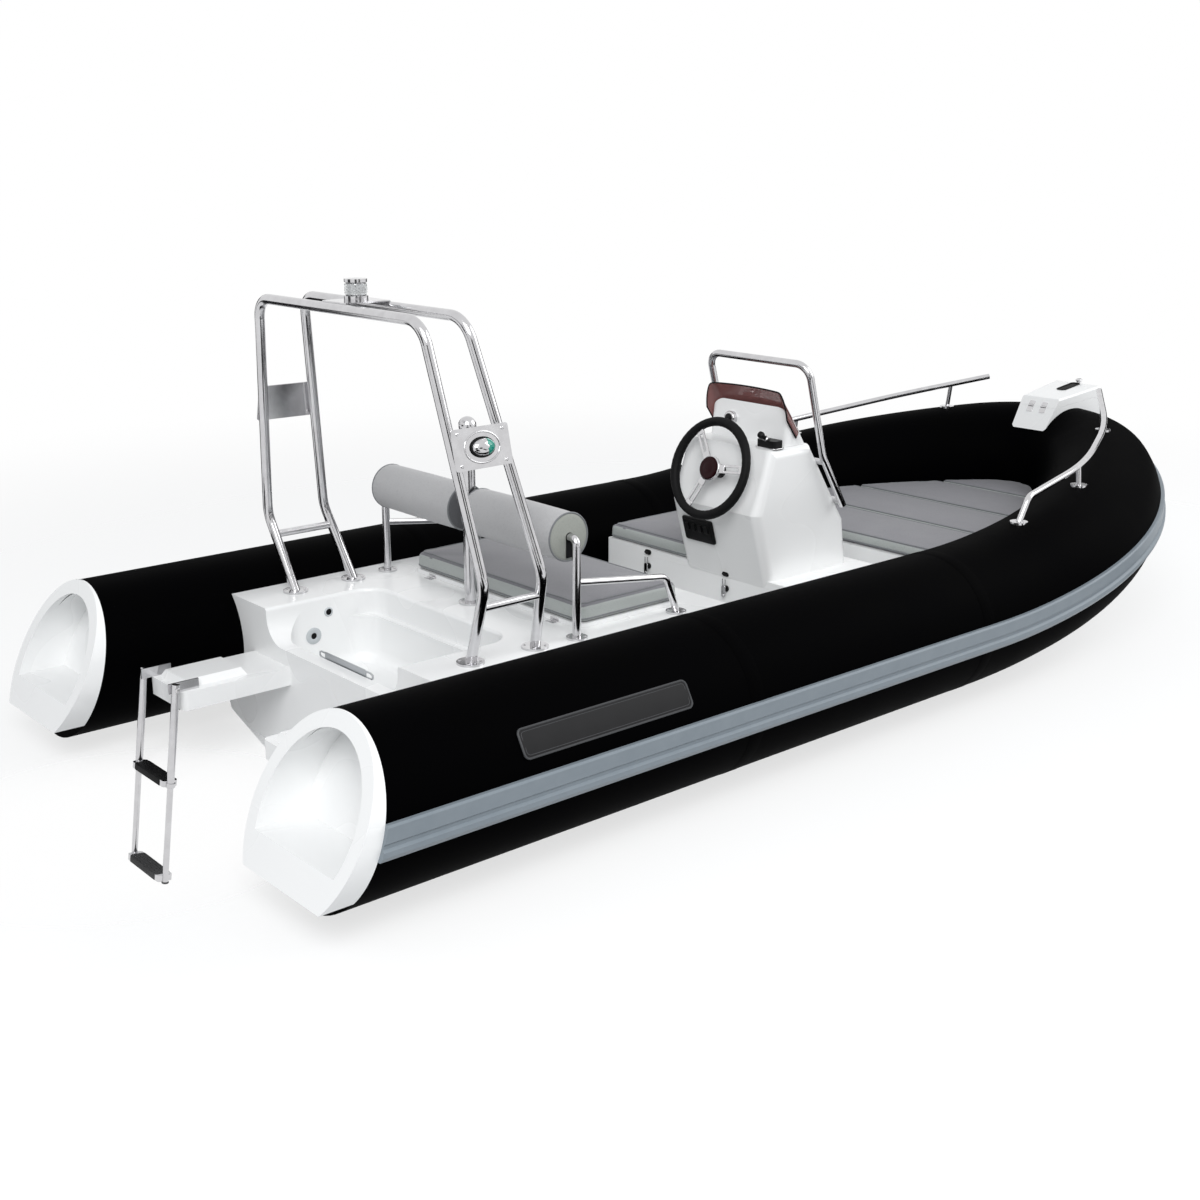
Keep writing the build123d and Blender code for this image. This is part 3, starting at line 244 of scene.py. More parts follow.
# %% [markdown]
# ## Patterns
# No real surface has one even tone. Each finish below lets a pattern shift its colour, its gloss or its
# relief, and these functions do that. A pattern is held in its part's own coordinates.

# %% Helpers for patterns


def own_place(tree):
    """The part's own coordinates."""
    return add_node(tree, "ShaderNodeTexCoord").outputs["Object"]


def noise(tree, millimetres, detail, where):
    """Soft blotches about this far apart, as values from 0 to 1."""
    blotches = {"Scale": per_metre(millimetres), "Detail": detail}
    return add_node(tree, "ShaderNodeTexNoise", sockets=blotches, links={"Vector": where}).outputs["Fac"]


def set_tones(tree, shader, values, first, second, full_at=1.0):
    """Let a pattern shift the colour between two tones."""
    ramp = add_node(tree, "ShaderNodeValToRGB", links={"Fac": values})
    first_stop, second_stop = ramp.color_ramp.elements
    first_stop.color = linear(first)
    second_stop.color = linear(second)
    second_stop.position = full_at
    tree.links.new(ramp.outputs["Color"], shader.inputs["Base Color"])


def set_roughness(tree, shader, values, low, high):
    """Let a pattern shift the roughness between two values."""
    limits = {"To Min": low, "To Max": high}
    spread = add_node(tree, "ShaderNodeMapRange", sockets=limits, links={"Value": values})
    tree.links.new(spread.outputs["Result"], shader.inputs["Roughness"])


def set_relief(tree, shader, heights, strength, depth):
    """Let a pattern raise the surface."""
    relief = {"Strength": strength, "Distance": depth}
    bump = add_node(tree, "ShaderNodeBump", sockets=relief, links={"Height": heights})
    tree.links.new(bump.outputs["Normal"], shader.inputs["Normal"])


print("patterns can shift colour, roughness and relief")

# %% [markdown]
# ## Tube fabric
# The collar is polyester cloth coated with synthetic rubber and calendered to a matt black. The eye sees a
# deep black with a faint satin sheen and a fine woven grain. The weave's real threads are 0.6 mm apart,
# which is too fine to show here, so it is drawn at 4 mm.

# %% Tube fabric
WEAVE_MM = 4.0
CLOUD_MM = 220
tube_fabric, tree, shader = start_material(
    "coated polyester fabric, calendered black", "#020203", {"IOR": 1.5, "Specular IOR Level": 0.008}
)
where = own_place(tree)
cloudy = noise(tree, CLOUD_MM, 4.0, where)
threads = {"Scale": per_metre(WEAVE_MM)}
weave = add_node(tree, "ShaderNodeTexVoronoi", sockets=threads, links={"Vector": where})
set_tones(tree, shader, cloudy, "#010101", "#020203")
set_roughness(tree, shader, cloudy, 0.56, 0.68)
set_relief(tree, shader, weave.outputs["Distance"], 0.12, 0.0006)
print("made", tube_fabric.name)

# %% [markdown]
# ## Gelcoat
# The hull, decks, console and stern caps are glass-reinforced polyester, sprayed into a polished mould with
# a white gelcoat. That gives a hard gloss over a pure white, with a very shallow waviness that only the
# reflections show, and a little dulling where feet and hands rub.

# %% Gelcoat
WAVE_MM = 90.0
RUBBED_MM = 260
gelcoat, tree, shader = start_material(
    "white gelcoat on glass-reinforced polyester", "#eeefef",
    {"IOR": 1.52, "Coat Weight": 0.3, "Coat Roughness": 0.12},
)
where = own_place(tree)
rubbed = noise(tree, RUBBED_MM, 0.0, where)
set_tones(tree, shader, rubbed, "#edeeee", "#f0f1f1")
set_roughness(tree, shader, rubbed, 0.25, 0.31)
set_relief(tree, shader, noise(tree, WAVE_MM, 1.0, where), 0.015, 0.004)
print("made", gelcoat.name)

# %% [markdown]
# ## Polished stainless steel
# The roll bar, rails, ladder and posts are bent stainless tube, mechanically polished. It mirrors the black
# collar and the white deck in long streaks. Faint polishing marks and a trace of salt haze break up the
# mirror.

# %% Polished stainless steel
HAZE_MM = 35.0
stainless, tree, shader = start_material("polished stainless steel tube", "#cfcfd2", {"Metallic": 1.0})
haze = noise(tree, HAZE_MM, 6.0, own_place(tree))
set_tones(tree, shader, haze, "#bdbcbe", "#d9d9db")
set_roughness(tree, shader, haze, 0.10, 0.17)
print("made", stainless.name)

# %% [markdown]
# ## Marine vinyl
# Seats and rolls are covered in vinyl with a leather grain pressed into it by a hot roller. The eye sees a
# soft satin with small pebbles, a touch darker in the creases, and that darkening is painted shade. The
# pebbles are about 1.5 mm across on the real cover and are drawn at 5 mm to show. The seats are mid grey
# and the back rolls are paler.

# %% Marine vinyl
PEBBLE_MM = 5.0
# The darker crease tone is painted shade; this is the share of a pebble that it covers.
CREASE_SHADE_WIDTH = 0.12       # share of a pebble that is its crease
SAT_ON_MM = 120


def pressed_vinyl(name, colour, crease_shade):
    """Vinyl with a pebbled grain in two tones, the darker one painted shade in the creases."""
    material, tree, shader = start_material(
        name, colour, {"IOR": 1.5, "Sheen Weight": 0.15, "Sheen Roughness": 0.5, "Specular IOR Level": 0.4}
    )
    where = own_place(tree)
    pebble_grain_and_shade = add_node(
        tree, "ShaderNodeTexVoronoi", {"feature": "DISTANCE_TO_EDGE"}, {"Scale": per_metre(PEBBLE_MM)},
        {"Vector": where},
    ).outputs["Distance"]
    # Painted shade: the colour darkens to the crease tone towards each pebble's edge.
    set_tones(tree, shader, pebble_grain_and_shade, crease_shade, colour, CREASE_SHADE_WIDTH)
    set_roughness(tree, shader, noise(tree, SAT_ON_MM, 3.0, where), 0.42, 0.58)
    set_relief(tree, shader, pebble_grain_and_shade, 0.25, 0.0007)
    return material


# The last colour of each vinyl is its painted crease shade.
seat_vinyl = pressed_vinyl("marine vinyl, pressed grain, mid grey", "#7b7b80", "#6b6b70")
roll_vinyl = pressed_vinyl("marine vinyl, pressed grain, pale grey", "#b3b3b4", "#a2a2a4")
side_vinyl = pressed_vinyl("marine vinyl, pressed grain, silver grey", "#a9aeac", "#9ca19f")
piping_vinyl = pressed_vinyl("vinyl welting, drawn over cord, grey", "#74777a", "#67696c")
dark_end_vinyl = pressed_vinyl("marine vinyl, pressed grain, dark grey", "#58595c", "#4c4d50")
roll_end_vinyl = pressed_vinyl("marine vinyl, pressed grain, warm grey", "#999c96", "#8b8e88")
print("made", seat_vinyl.name, "and", roll_vinyl.name)

# %% [markdown]
# ## Rubbers and plastics
# The rub strake is extruded rubber in slate grey, with fine lines along it from the die. The treads and the
# wheel's grip are moulded in black with a fine spark-eroded grain, and so are the throttle and the panel.
# They differ in colour, gloss and grain size, so one function makes them all.

# %% Rubbers and plastics
WORN_MM = 60


def moulded(name, colour, rubbed_colour, rough, grain_mm, depth_mm, shine):
    """Moulded or extruded rubber or plastic with a grain."""
    material, tree, shader = start_material(name, colour, {"IOR": 1.5, "Specular IOR Level": shine})
    where = own_place(tree)
    worn = noise(tree, WORN_MM, 5.0, where)
    set_tones(tree, shader, worn, colour, rubbed_colour)
    set_roughness(tree, shader, worn, *rough)
    set_relief(tree, shader, noise(tree, grain_mm, 2.0, where), 0.2, depth_mm / 1000)
    return material


strake_rubber = moulded("extruded rubber, slate grey", "#737d85", "#828b92", (0.34, 0.5), 8.0, 0.4, 0.4)
black_rubber = moulded("moulded rubber, black", "#0c0c0d", "#161617", (0.5, 0.68), 3.0, 0.5, 0.1)
black_abs = moulded("moulded ABS, black", "#0d0d0e", "#151516", (0.3, 0.45), 2.5, 0.25, 0.14)
maroon_lacquer = moulded("lacquered boss, maroon", "#1c0408", "#27070c", (0.12, 0.2), 40.0, 0.05, 0.12)
plate_rubber = moulded("moulded rubber, charcoal", "#1d1d1e", "#262627", (0.45, 0.6), 6.0, 0.3, 0.12)
plate_border = moulded("moulded rubber edging, dark grey", "#3b3c3e", "#454648", (0.4, 0.55), 4.0, 0.2, 0.2)
drain_nylon = moulded("moulded nylon, pale grey", "#c4c9cc", "#b2b7ba", (0.35, 0.5), 3.0, 0.2, 0.5)
print("made", strake_rubber.name, "and black fittings")

# %% [markdown]
# ## Clear and metal small parts
# The screen is cast acrylic smoked brown, the lamps have tinted polycarbonate lenses, and the transom's
# clamp plate is aluminium brushed along its length. The brush lines are about 0.3 mm apart and are drawn at
# 2 mm.

# %% Clear and metal small parts
SCUFF_MM = 25


def tinted(name, colour, rough, transmission):
    """Clear plastic with a tint and a faint scuffing."""
    material, tree, shader = start_material(name, colour, {"IOR": 1.49, "Transmission Weight": transmission})
    set_roughness(tree, shader, noise(tree, SCUFF_MM, 6.0, own_place(tree)), rough, rough + 0.07)
    return material


smoked_acrylic = tinted("cast acrylic, smoked brown", "#8c5f5d", 0.05, 0.35)
green_lens = tinted("polycarbonate lens, green", "#0f9480", 0.06, 0.15)
red_lens = tinted("polycarbonate lens, red", "#a5161b", 0.06, 0.15)
clear_lens = tinted("polycarbonate lens, clear", "#eef0f0", 0.03, 0.85)

BRUSH_MM = 2.0
brushed_plate, tree, shader = start_material("brushed aluminium plate", "#b9bcbf", {"Metallic": 1.0})
along = add_node(
    tree, "ShaderNodeMapping", sockets={"Scale": (1.0, 0.02, 1.0)}, links={"Vector": own_place(tree)}
)
set_roughness(tree, shader, noise(tree, BRUSH_MM, 3.0, along.outputs["Vector"]), 0.25, 0.45)
print("made", smoked_acrylic.name, "and", brushed_plate.name)

# %% [markdown]
# ## Dressing the CAD parts
# Each CAD part already has the right shape and place, so it only needs its finish. The table gives the
# finish for every part, and a part that a detailed piece replaces later still gets one.

# %% Dress the CAD parts
sides = ("port", "starboard")
DRESS = {
    tube_fabric: [f"{s}_{n}" for s in sides for n in ("tube", "bow_tube")],
    strake_rubber: [f"{s}_{n}" for s in sides for n in ("rub_strake", "bow_strake")],
    gelcoat: [
        "hull", "stern_deck", "rear_seat_box", "console_locker", "console_shell", "bow_deck", "bow_box",
        "anchor_lid", "rear_seat_board", *[f"{s}_{n}" for s in sides for n in ("platform", "stern_cap")],
    ],
    stainless: [
        "ladder_brackets", "ladder_upper", "ladder_lower", "roll_bar_aft_hoop", "roll_bar_forward_hoop",
        "roll_bar_feet", "roll_bar_braces", "light_plates", "side_lights", "mast_light", "tow_post",
        "console_rail", "gauge", "bow_eye", *[f"{s}_{n}" for s in sides for n in ("seat_frame", "bow_rail")],
    ],
    seat_vinyl: ["rear_seat_cushion", "side_cushion", *[f"bow_cushion_{i}" for i in range(1, 5)]],
    roll_vinyl: ["port_bolster", "starboard_bolster"],
    smoked_acrylic: ["windscreen"],
    brushed_plate: ["transom_plate"],
    black_abs: ["helm_column", "steering_wheel", "throttle"],
}
for finish, names in DRESS.items():
    for name in names:
        mesh = parts[name].data
        mesh.materials.clear()
        mesh.materials.append(finish)
dressed = {name for names in DRESS.values() for name in names}
print("dressed", len(dressed), "parts, left bare:", sorted(set(parts) - dressed))

# %% [markdown]
# ## Stuffed cushions
# The seats are foam pads in sewn covers, cut a little small so that the foam pushes them out between the
# seams. A block with round edges would look like plastic. So each pad is copied, drawn in, rebuilt as a net
# of small faces and blown up as cloth for twenty frames with its base held. The pads are up to 1.2 m long,
# so the net is 12 mm wide and is divided once more at the end.

# %% Copy the cushions as nets
NET = 0.012
DRAWN_IN = 0.005
SWELL = 0.011
FRAMES = 20
CUSHIONS = {
    "rear_seat_cushion": "rear_seat", "side_cushion": "console",
    **{f"bow_cushion_{i}": "boat" for i in range(1, 5)},
}


def settled(thing):
    """The mesh of an object with its modifiers applied."""
    return bpy.data.meshes.new_from_object(thing.evaluated_get(bpy.context.evaluated_depsgraph_get()))


def netted(node):
    """A cushion's form drawn in a little and rebuilt as an even net, with its base marked."""
    low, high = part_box(node)
    anchor = Vector(((low.x + high.x) / 2, (low.y + high.y) / 2, low.z))
    size = high - low
    mesh = parts[node].data.copy()
    for vertex in mesh.vertices:
        vertex.co = anchor + Vector([d * (1 - 2 * DRAWN_IN / s) for d, s in zip(vertex.co - anchor, size)])
    pad = stand(f"{node}_stuffed", mesh)
    net = pad.modifiers.new("net", "REMESH")
    net.mode = "VOXEL"
    net.voxel_size = NET
    ease = pad.modifiers.new("ease", "SMOOTH")
    ease.iterations = 3
    rebuilt = settled(pad)
    pad.modifiers.clear()
    pad.data = rebuilt
    base = pad.vertex_groups.new(name="base")
    base.add([v.index for v in rebuilt.vertices if v.co.z < low.z + NET / 2], 1.0, "REPLACE")
    return pad


pads = {node: netted(node) for node in CUSHIONS}
print("net points:", {node: len(pad.data.vertices) for node, pad in pads.items()})

# %% Blow them up
for pad in pads.values():
    stuffing = pad.modifiers.new("stuffing", "CLOTH")
    stuffing.settings.quality = 4
    stuffing.settings.use_pressure = True
    stuffing.settings.uniform_pressure_force = 4.0
    stuffing.settings.effector_weights.gravity = 0.0
    stuffing.settings.vertex_group_mass = "base"
    stuffing.point_cache.frame_end = FRAMES
for number in range(1, FRAMES + 1):
    scene.frame_set(number)
for node, pad in pads.items():
    swollen = settled(pad)
    moves = [new.co - old.co for new, old in zip(swollen.vertices, pad.data.vertices)]
    largest = max(move.length for move in moves)
    share = min(1.0, SWELL / largest)
    pad.modifiers.clear()
    for vertex, move in zip(pad.data.vertices, moves):
        vertex.co += share * move
    print(node, "swelled", round(1000 * largest, 1), "mm, kept", round(share, 2))
scene.frame_set(1)

# %% [markdown]
# ## Covers and welting
# The top panel of a cover is sewn to a paler side band, and the seam is finished with welting, a cord in a
# strip of vinyl. The faces that look sideways get the band's finish. The welting follows the line where a
# level plane cuts the pad, so it sits exactly on the blown-up cover.

# %% Sew the covers
WELT_R = 0.0032
SEAM_DOWN = 0.012       # from the top or the base to its seam


def outline_at(mesh, height):
    """The closed line where a level plane cuts a mesh, evened out."""
    cut = bmesh.new()
    cut.from_mesh(mesh)
    everything = cut.verts[:] + cut.edges[:] + cut.faces[:]
    bmesh.ops.bisect_plane(
        cut, geom=everything, plane_co=(0, 0, height), plane_no=(0, 0, 1), clear_inner=True, clear_outer=True
    )
    cut.verts.ensure_lookup_table()
    start = here = cut.verts[0]
    came_by = None
    line = []
    while not line or here != start:
        line.append(here.co.copy())
        came_by = next(edge for edge in here.link_edges if edge != came_by)
        here = came_by.other_vert(here)
    cut.free()
    for _ in range(4):
        line = [(a + 2 * b + c) / 4 for a, b, c in zip(line[-1:] + line[:-1], line, line[1:] + line[:1])]
    return line


def circle(count):
    """Angles evenly spaced round a full turn."""
    return [2 * pi * k / count for k in range(count)]


def sweep(shape, points, radius, closed=False, steps=12):
    """Add a round bar that follows points. Its radius is one number or a list with one for each point."""
    radii = radius if isinstance(radius, list) else [radius] * len(points)
    rings = []
    side = None
    count = len(points)
    for i, (point, reach) in enumerate(zip(points, radii)):
        before = points[i - 1] if i or closed else point
        after = points[(i + 1) % count] if closed or i + 1 < count else point
        along = (after - before).normalized()
        side = along.orthogonal() if side is None else side
        side = (side - along * side.dot(along)).normalized()
        up = along.cross(side)
        rings.append([shape.verts.new(point + reach * (cos(a) * side + sin(a) * up)) for a in circle(steps)])
    if closed:
        rings.append(rings[0])
    for low, high in zip(rings, rings[1:]):
        for k in range(steps):
            shape.faces.new((low[k], low[k - 1], high[k - 1], high[k]))
    if not closed:
        shape.faces.new(rings[0])
        shape.faces.new(rings[-1])


def add_piece(name, shape, finish, body):
    """Turn a finished bmesh into a piece that rides on a body."""
    bmesh.ops.recalc_face_normals(shape, faces=shape.faces[:])
    mesh = bpy.data.meshes.new(name)
    shape.to_mesh(mesh)
    shape.free()
    mesh.shade_smooth()
    mesh.set_sharp_from_angle(angle=radians(40))
    mesh.materials.append(finish)
    made = stand(name, mesh)
    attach(made, body)
    return made


for node, body in CUSHIONS.items():
    pad = pads[node]
    finer = pad.modifiers.new("finer", "SUBSURF")
    finer.levels = 1
    cover = settled(pad)
    pad.modifiers.clear()
    pad.data = cover
    cover.shade_smooth()
    cover.materials.clear()
    cover.materials.append(seat_vinyl)
    cover.materials.append(side_vinyl)
    for face in cover.polygons:
        face.material_index = int(abs(face.normal.z) < 0.6)
    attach(pad, body)
    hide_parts(node)
    low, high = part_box(node)
    welts = bmesh.new()
    for height in (high.z - SEAM_DOWN, low.z + SEAM_DOWN):
        sweep(welts, outline_at(cover, height), WELT_R, closed=True, steps=8)
    add_piece(f"{node}_welting", welts, piping_vinyl, body)
print("covers:", len(CUSHIONS))

# %% [markdown]
# ## Back rolls
# The backrest is two foam rolls on steel posts. Each is a tube of vinyl with round end panels sewn in, and
# the cover puckers a little where it meets the seam. A turned profile gives the roll, and a small wave in
# its radius near each end gives the puckers. That is quicker than blowing up a roll.

# %% Back rolls
ROLL_AT = Vector((0.592, 0.0, 0.813))
ROLL_R = 0.0795
ROLL_IN = 0.034
ROLL_OUT = 0.511
ROLL_CROWN = 0.0015     # thicker by this in its middle
HEM = 0.006             # from an end to the cover's edge
PUCKERS = 26
PUCKER_DEPTH = 0.0014
PUCKER_REACH = 0.07
PANEL = (
    # radius and height of an end panel
    (0.0, 0.0), (0.016, -0.0006), (0.042, -0.001), (0.065, -0.003), (0.0755, -0.0055), (0.0785, -0.008),
)
ROLL_WELT = 0.0782
NOTCH_HALF = 0.0155
NOTCH_LEN = 0.067
NOTCH_SUNK = 0.0035
NOTCH_T = 0.0042
shift = Matrix.Translation


def hoop(place, a, b, height, count):
    """Points of an ellipse round the place's own Z axis."""
    return [place @ Vector((a * cos(t), b * sin(t), height)) for t in circle(count)]


def turn(shape, profile, place, steps=32):
    """Add a turned form: (radius, height) pairs spun round the place's own Z axis."""
    rings = []
    for radius, height in profile:
        ring = hoop(place, radius, radius, height, steps if radius else 1)
        rings.append([shape.verts.new(point) for point in ring])
    for low, high in zip(rings, rings[1:]):
        for k in range(steps):
            around = [ring[j % len(ring)] for ring, j in ((low, k), (low, k + 1), (high, k + 1), (high, k))]
            corners = list(dict.fromkeys(around))
            if len(corners) > 2:
                shape.faces.new(corners)


def facing(point, out, up=(0, 0, 1)):
    """A place whose Z points out of a surface and whose Y points as nearly up as it can."""
    z = Vector(out).normalized()
    x = Vector(up).cross(z).normalized()
    return shift(point) @ Matrix((x, z.cross(x), z)).transposed().to_4x4()


for side, name in ((1, "port"), (-1, "starboard")):
    place = facing(ROLL_AT, (0, side, 0))
    roll = bmesh.new()
    length = ROLL_OUT - ROLL_IN - 2 * HEM
    shares = [k / 60 for k in range(61)]
    turn(roll, [(ROLL_R + ROLL_CROWN * sin(pi * s), ROLL_IN + HEM + s * length) for s in shares], place, 156)
    for vertex in roll.verts:
        from_end = min(abs(vertex.co.y) - ROLL_IN, ROLL_OUT - abs(vertex.co.y))
        middle = Vector((ROLL_AT.x, vertex.co.y, ROLL_AT.z))
        spoke = vertex.co - middle
        wave = 0.5 + 0.5 * cos(PUCKERS * atan2(spoke.z, spoke.x))
        pinch = PUCKER_DEPTH * wave * max(0.0, 1 - from_end / PUCKER_REACH) ** 2
        vertex.co = middle + spoke * (1 - pinch / spoke.length)
    made = add_piece(f"{name}_roll_cover", roll, roll_vinyl, "boat")
    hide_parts(f"{name}_bolster")
    ends = (("inner", ROLL_IN, -1, dark_end_vinyl), ("outer", ROLL_OUT, 1, roll_end_vinyl))
    for end, height, lift, finish in ends:
        panel = bmesh.new()
        turn(panel, [(radius, height + lift * drop) for radius, drop in PANEL], place, 64)
        made = add_piece(f"{name}_roll_{end}_panel", panel, finish, "boat")
        welt = bmesh.new()
        sweep(welt, hoop(place, ROLL_WELT, ROLL_WELT, height - lift * HEM, 72), 0.003, closed=True, steps=8)
        add_piece(f"{name}_roll_{end}_welt", welt, piping_vinyl, "boat")
    notch = bmesh.new()
    tip = place @ shift((0, 0, ROLL_OUT - NOTCH_SUNK))
    turn(notch, [(0.0, NOTCH_T), (NOTCH_HALF, NOTCH_T), (NOTCH_HALF, 0.0)], tip)
    corners = ((-1, -NOTCH_LEN), (1, -NOTCH_LEN), (1, 0), (-1, 0))
    notch.faces.new([notch.verts.new(tip @ Vector((x * NOTCH_HALF, y, NOTCH_T))) for x, y in corners])
    add_piece(f"{name}_roll_notch", notch, black_rubber, "boat")
print("rolls are", ROLL_OUT - ROLL_IN, "m long")

# %% [markdown]
# ## Steering wheel
# The wheel is a steel ring moulded over with soft black plastic, on three forked spokes of polished steel,
# with a lacquered boss. The ring is a swept circle that swells between the spokes, as a hand grip does. The
# joint's own place and axis come from the frame, so the wheel turns about its true centre.

# %% Steering wheel
joints = {joint["name"]: joint for joint in frame["joints"]}
WHEEL = facing(Vector(joints["steering"]["pos_m"]), joints["steering"]["axis"])
RING_R = 0.178
GRIP_R = 0.0174
SPOKE_TURNS = (6, 126, 246)
HUB = (
    # radius and height
    (0.0, -0.03), (0.03, -0.03), (0.038, -0.02), (0.048, -0.004), (0.048, 0.003), (0.044, 0.006),
    (0.0, 0.006),
)
BOSS = (
    (0.044, 0.004), (0.044, 0.008), (0.041, 0.0125), (0.030, 0.0150), (0.026, 0.0138), (0.022, 0.0150),
    (0.0, 0.0160),
)

ring = bmesh.new()
grips = [GRIP_R + 0.0010 * cos(3 * (a - radians(66))) + 0.0003 * cos(48 * a) for a in circle(144)]
sweep(ring, hoop(WHEEL, RING_R, RING_R, 0, 144), grips, closed=True, steps=20)
made = add_piece("wheel_ring", ring, black_rubber, "steering_wheel")
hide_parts("steering_wheel")


def plate(shape, size, thick, place, edge):
    """Add a plate with rounded edges: length, width and corner in the place's XY, thickened along its Z."""
    blank = bmesh.new()
    face = blank.faces.new([blank.verts.new((x, y, 0)) for x, y in oblong(*size)])
    grown = bmesh.ops.extrude_face_region(blank, geom=[face])
    raised = [item for item in grown["geom"] if isinstance(item, bmesh.types.BMVert)]
    bmesh.ops.translate(blank, verts=raised, vec=(0, 0, thick))
    sharp = [item for item in blank.edges if item.calc_face_angle(0) > 0.9]
    bmesh.ops.bevel(blank, geom=sharp, offset=edge, segments=3, profile=0.5, affect="EDGES")
    bmesh.ops.transform(blank, matrix=place, verts=blank.verts[:])
    stock = bpy.data.meshes.new("stock")
    blank.to_mesh(stock)
    blank.free()
    shape.from_mesh(stock)
    bpy.data.meshes.remove(stock)


def oblong(length, width, corner, steps=6):
    """Outline of a rectangle with round corners."""
    points = []
    inner_x, inner_y = length / 2 - corner, width / 2 - corner
    for quarter, (x, y) in enumerate(((1, 1), (-1, 1), (-1, -1), (1, -1))):
        for k in range(steps + 1):
            a = (quarter + k / steps) * pi / 2
            points.append((x * inner_x + corner * cos(a), y * inner_y + corner * sin(a)))
    return points


spokes = bmesh.new()
for angle in SPOKE_TURNS:
    arm = WHEEL @ Matrix.Rotation(radians(angle), 4, "Z")
    for offset in (-0.0115, 0.0115):
        plate(spokes, (0.124, 0.010, 0.004), 0.005, arm @ shift((0.104, offset, -0.0025)), 0.0012)
    for along, length in ((0.056, 0.034), (0.156, 0.022)):
        plate(spokes, (length, 0.033, 0.006), 0.006, arm @ shift((along, 0, -0.003)), 0.0012)
turn(spokes, HUB, WHEEL, 48)
add_piece("wheel_spokes", spokes, stainless, "steering_wheel")
boss = bmesh.new()
turn(boss, BOSS, WHEEL, 48)
add_piece("wheel_boss", boss, maroon_lacquer, "steering_wheel")
print("wheel", 2 * RING_R, "m across")

# %% [markdown]
# ## Windscreen
# The screen is one sheet of acrylic, bent hot over a former, so it wraps round the hood's forward edge. It
# could be cut from a flat sheet, but the wrap is what shows from the helm. A grid of points follows the bent
# line in plan and climbs along the hood's slope, and is then thickened. A black trim is pushed on its edge.

# %% Windscreen
SCREEN_FOOT = Vector((1.859, -0.144, 0.985))
SCREEN_UP = Vector((-0.064, 0.0, 0.086)).normalized()
SCREEN_OUT = Vector((SCREEN_UP.z, 0.0, -SCREEN_UP.x))
SCREEN_HALF = 0.208
SCREEN_H = 0.172
BEND_R = 0.05
BOW_OUT = 0.012         # the front stands out this much in its middle
CLEAR_OF_HOOD = 0.008
SHEET = 0.004


def screen_path():
    """The bent sheet's line in plan: distance across and distance out, from port to starboard."""
    bends = [k * pi / 20 for k in range(11)]
    side = [(SCREEN_HALF - BEND_R * (1 - cos(a)), BEND_R * sin(a) - BEND_R) for a in bends]
    front = [((SCREEN_HALF - BEND_R) * (1 - k / 10), 0.0) for k in range(1, 20)]
    whole = side + front + [(-y, out) for y, out in reversed(side)]
    return [(y, out + CLEAR_OF_HOOD + BOW_OUT * (1 - (y / SCREEN_HALF) ** 2)) for y, out in whole]


def screen_point(y, out, share):
    """A point of the bent sheet, from its foot at 0 to its top at 1. The top falls off along the sides."""
    fall = max(0.0, 0.004 - out) * 1.8
    return SCREEN_FOOT + Vector((0, y, 0)) + SCREEN_OUT * out + SCREEN_UP * (SCREEN_H - fall) * share


def skin(shape, rows):
    """Join rows of corners with faces."""
    for low, high in zip(rows, rows[1:]):
        for corners in zip(low, low[1:], high[1:], high):
            shape.faces.new(corners)


line = screen_path()
screen = bmesh.new()
skin(screen, [[screen.verts.new(screen_point(y, out, k / 8)) for y, out in line] for k in range(9)])
bmesh.ops.recalc_face_normals(screen, faces=screen.faces[:])
bmesh.ops.solidify(screen, geom=screen.faces[:], thickness=SHEET)
made = add_piece("bent_screen", screen, smoked_acrylic, "console")
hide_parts("windscreen")
trim = bmesh.new()
edge = [screen_point(*line[0], k / 8) for k in range(8)]
edge += [screen_point(y, out, 1.0) for y, out in line]
edge += [screen_point(*line[-1], k / 8) for k in reversed(range(8))]
sweep(trim, edge, 0.0032, steps=10)
add_piece("screen_trim", trim, black_rubber, "console")
print("screen is", round(2 * SCREEN_HALF, 3), "m wide")

# %% [markdown]
# ## Navigation lights
# Each side light is a polished housing shaped like half an egg, on a black gasket, with a coloured lens at
# its forward end: green to starboard, red to port. The masthead light has a ribbed clear lens round its
# middle. The light plates lean with the roll bar, so the places are worked out from the bar's legs.

# %% Navigation lights
DECK = 0.485
KNEE = 0.753
HOOP_TOP = 1.525
LEGS = {
    # foot x, top x, knee y, top y
    "aft": (0.187, 0.080, 0.637, 0.468),
    "fore": (0.432, 0.242, 0.632, 0.456),
}
PLATE_LOW = 1.092
PLATE_HIGH = 1.215
PLATE_OUT = 0.0217      # from the legs' centres to the plate's face
LENS_TURNS = [radians(8 * k - 72) for k in range(19)]


def leg_point(leg, z):
    """Centre of a port leg of the roll bar, above its knee."""
    foot_x, top_x, knee_y, top_y = LEGS[leg]
    x = foot_x + (top_x - foot_x) * (z - DECK) / (HOOP_TOP - DECK)
    return Vector((x, knee_y + (top_y - knee_y) * (z - KNEE) / (HOOP_TOP - KNEE), z))


def egg(shape, place, size, turns, top):
    """Add part of a half ellipsoid: angles round the place's Z axis, and how far it climbs to its top."""
    a, b, c = size
    climbs = [top * k / 10 * pi / 2 for k in range(11)]
    grid = []
    for u in climbs:
        row = [Vector((a * cos(t) * cos(u), b * sin(t) * cos(u), c * sin(u))) for t in turns]
        grid.append([shape.verts.new(place @ point) for point in row])
    skin(shape, grid)
    bmesh.ops.remove_doubles(shape, verts=shape.verts[:], dist=0.00002)


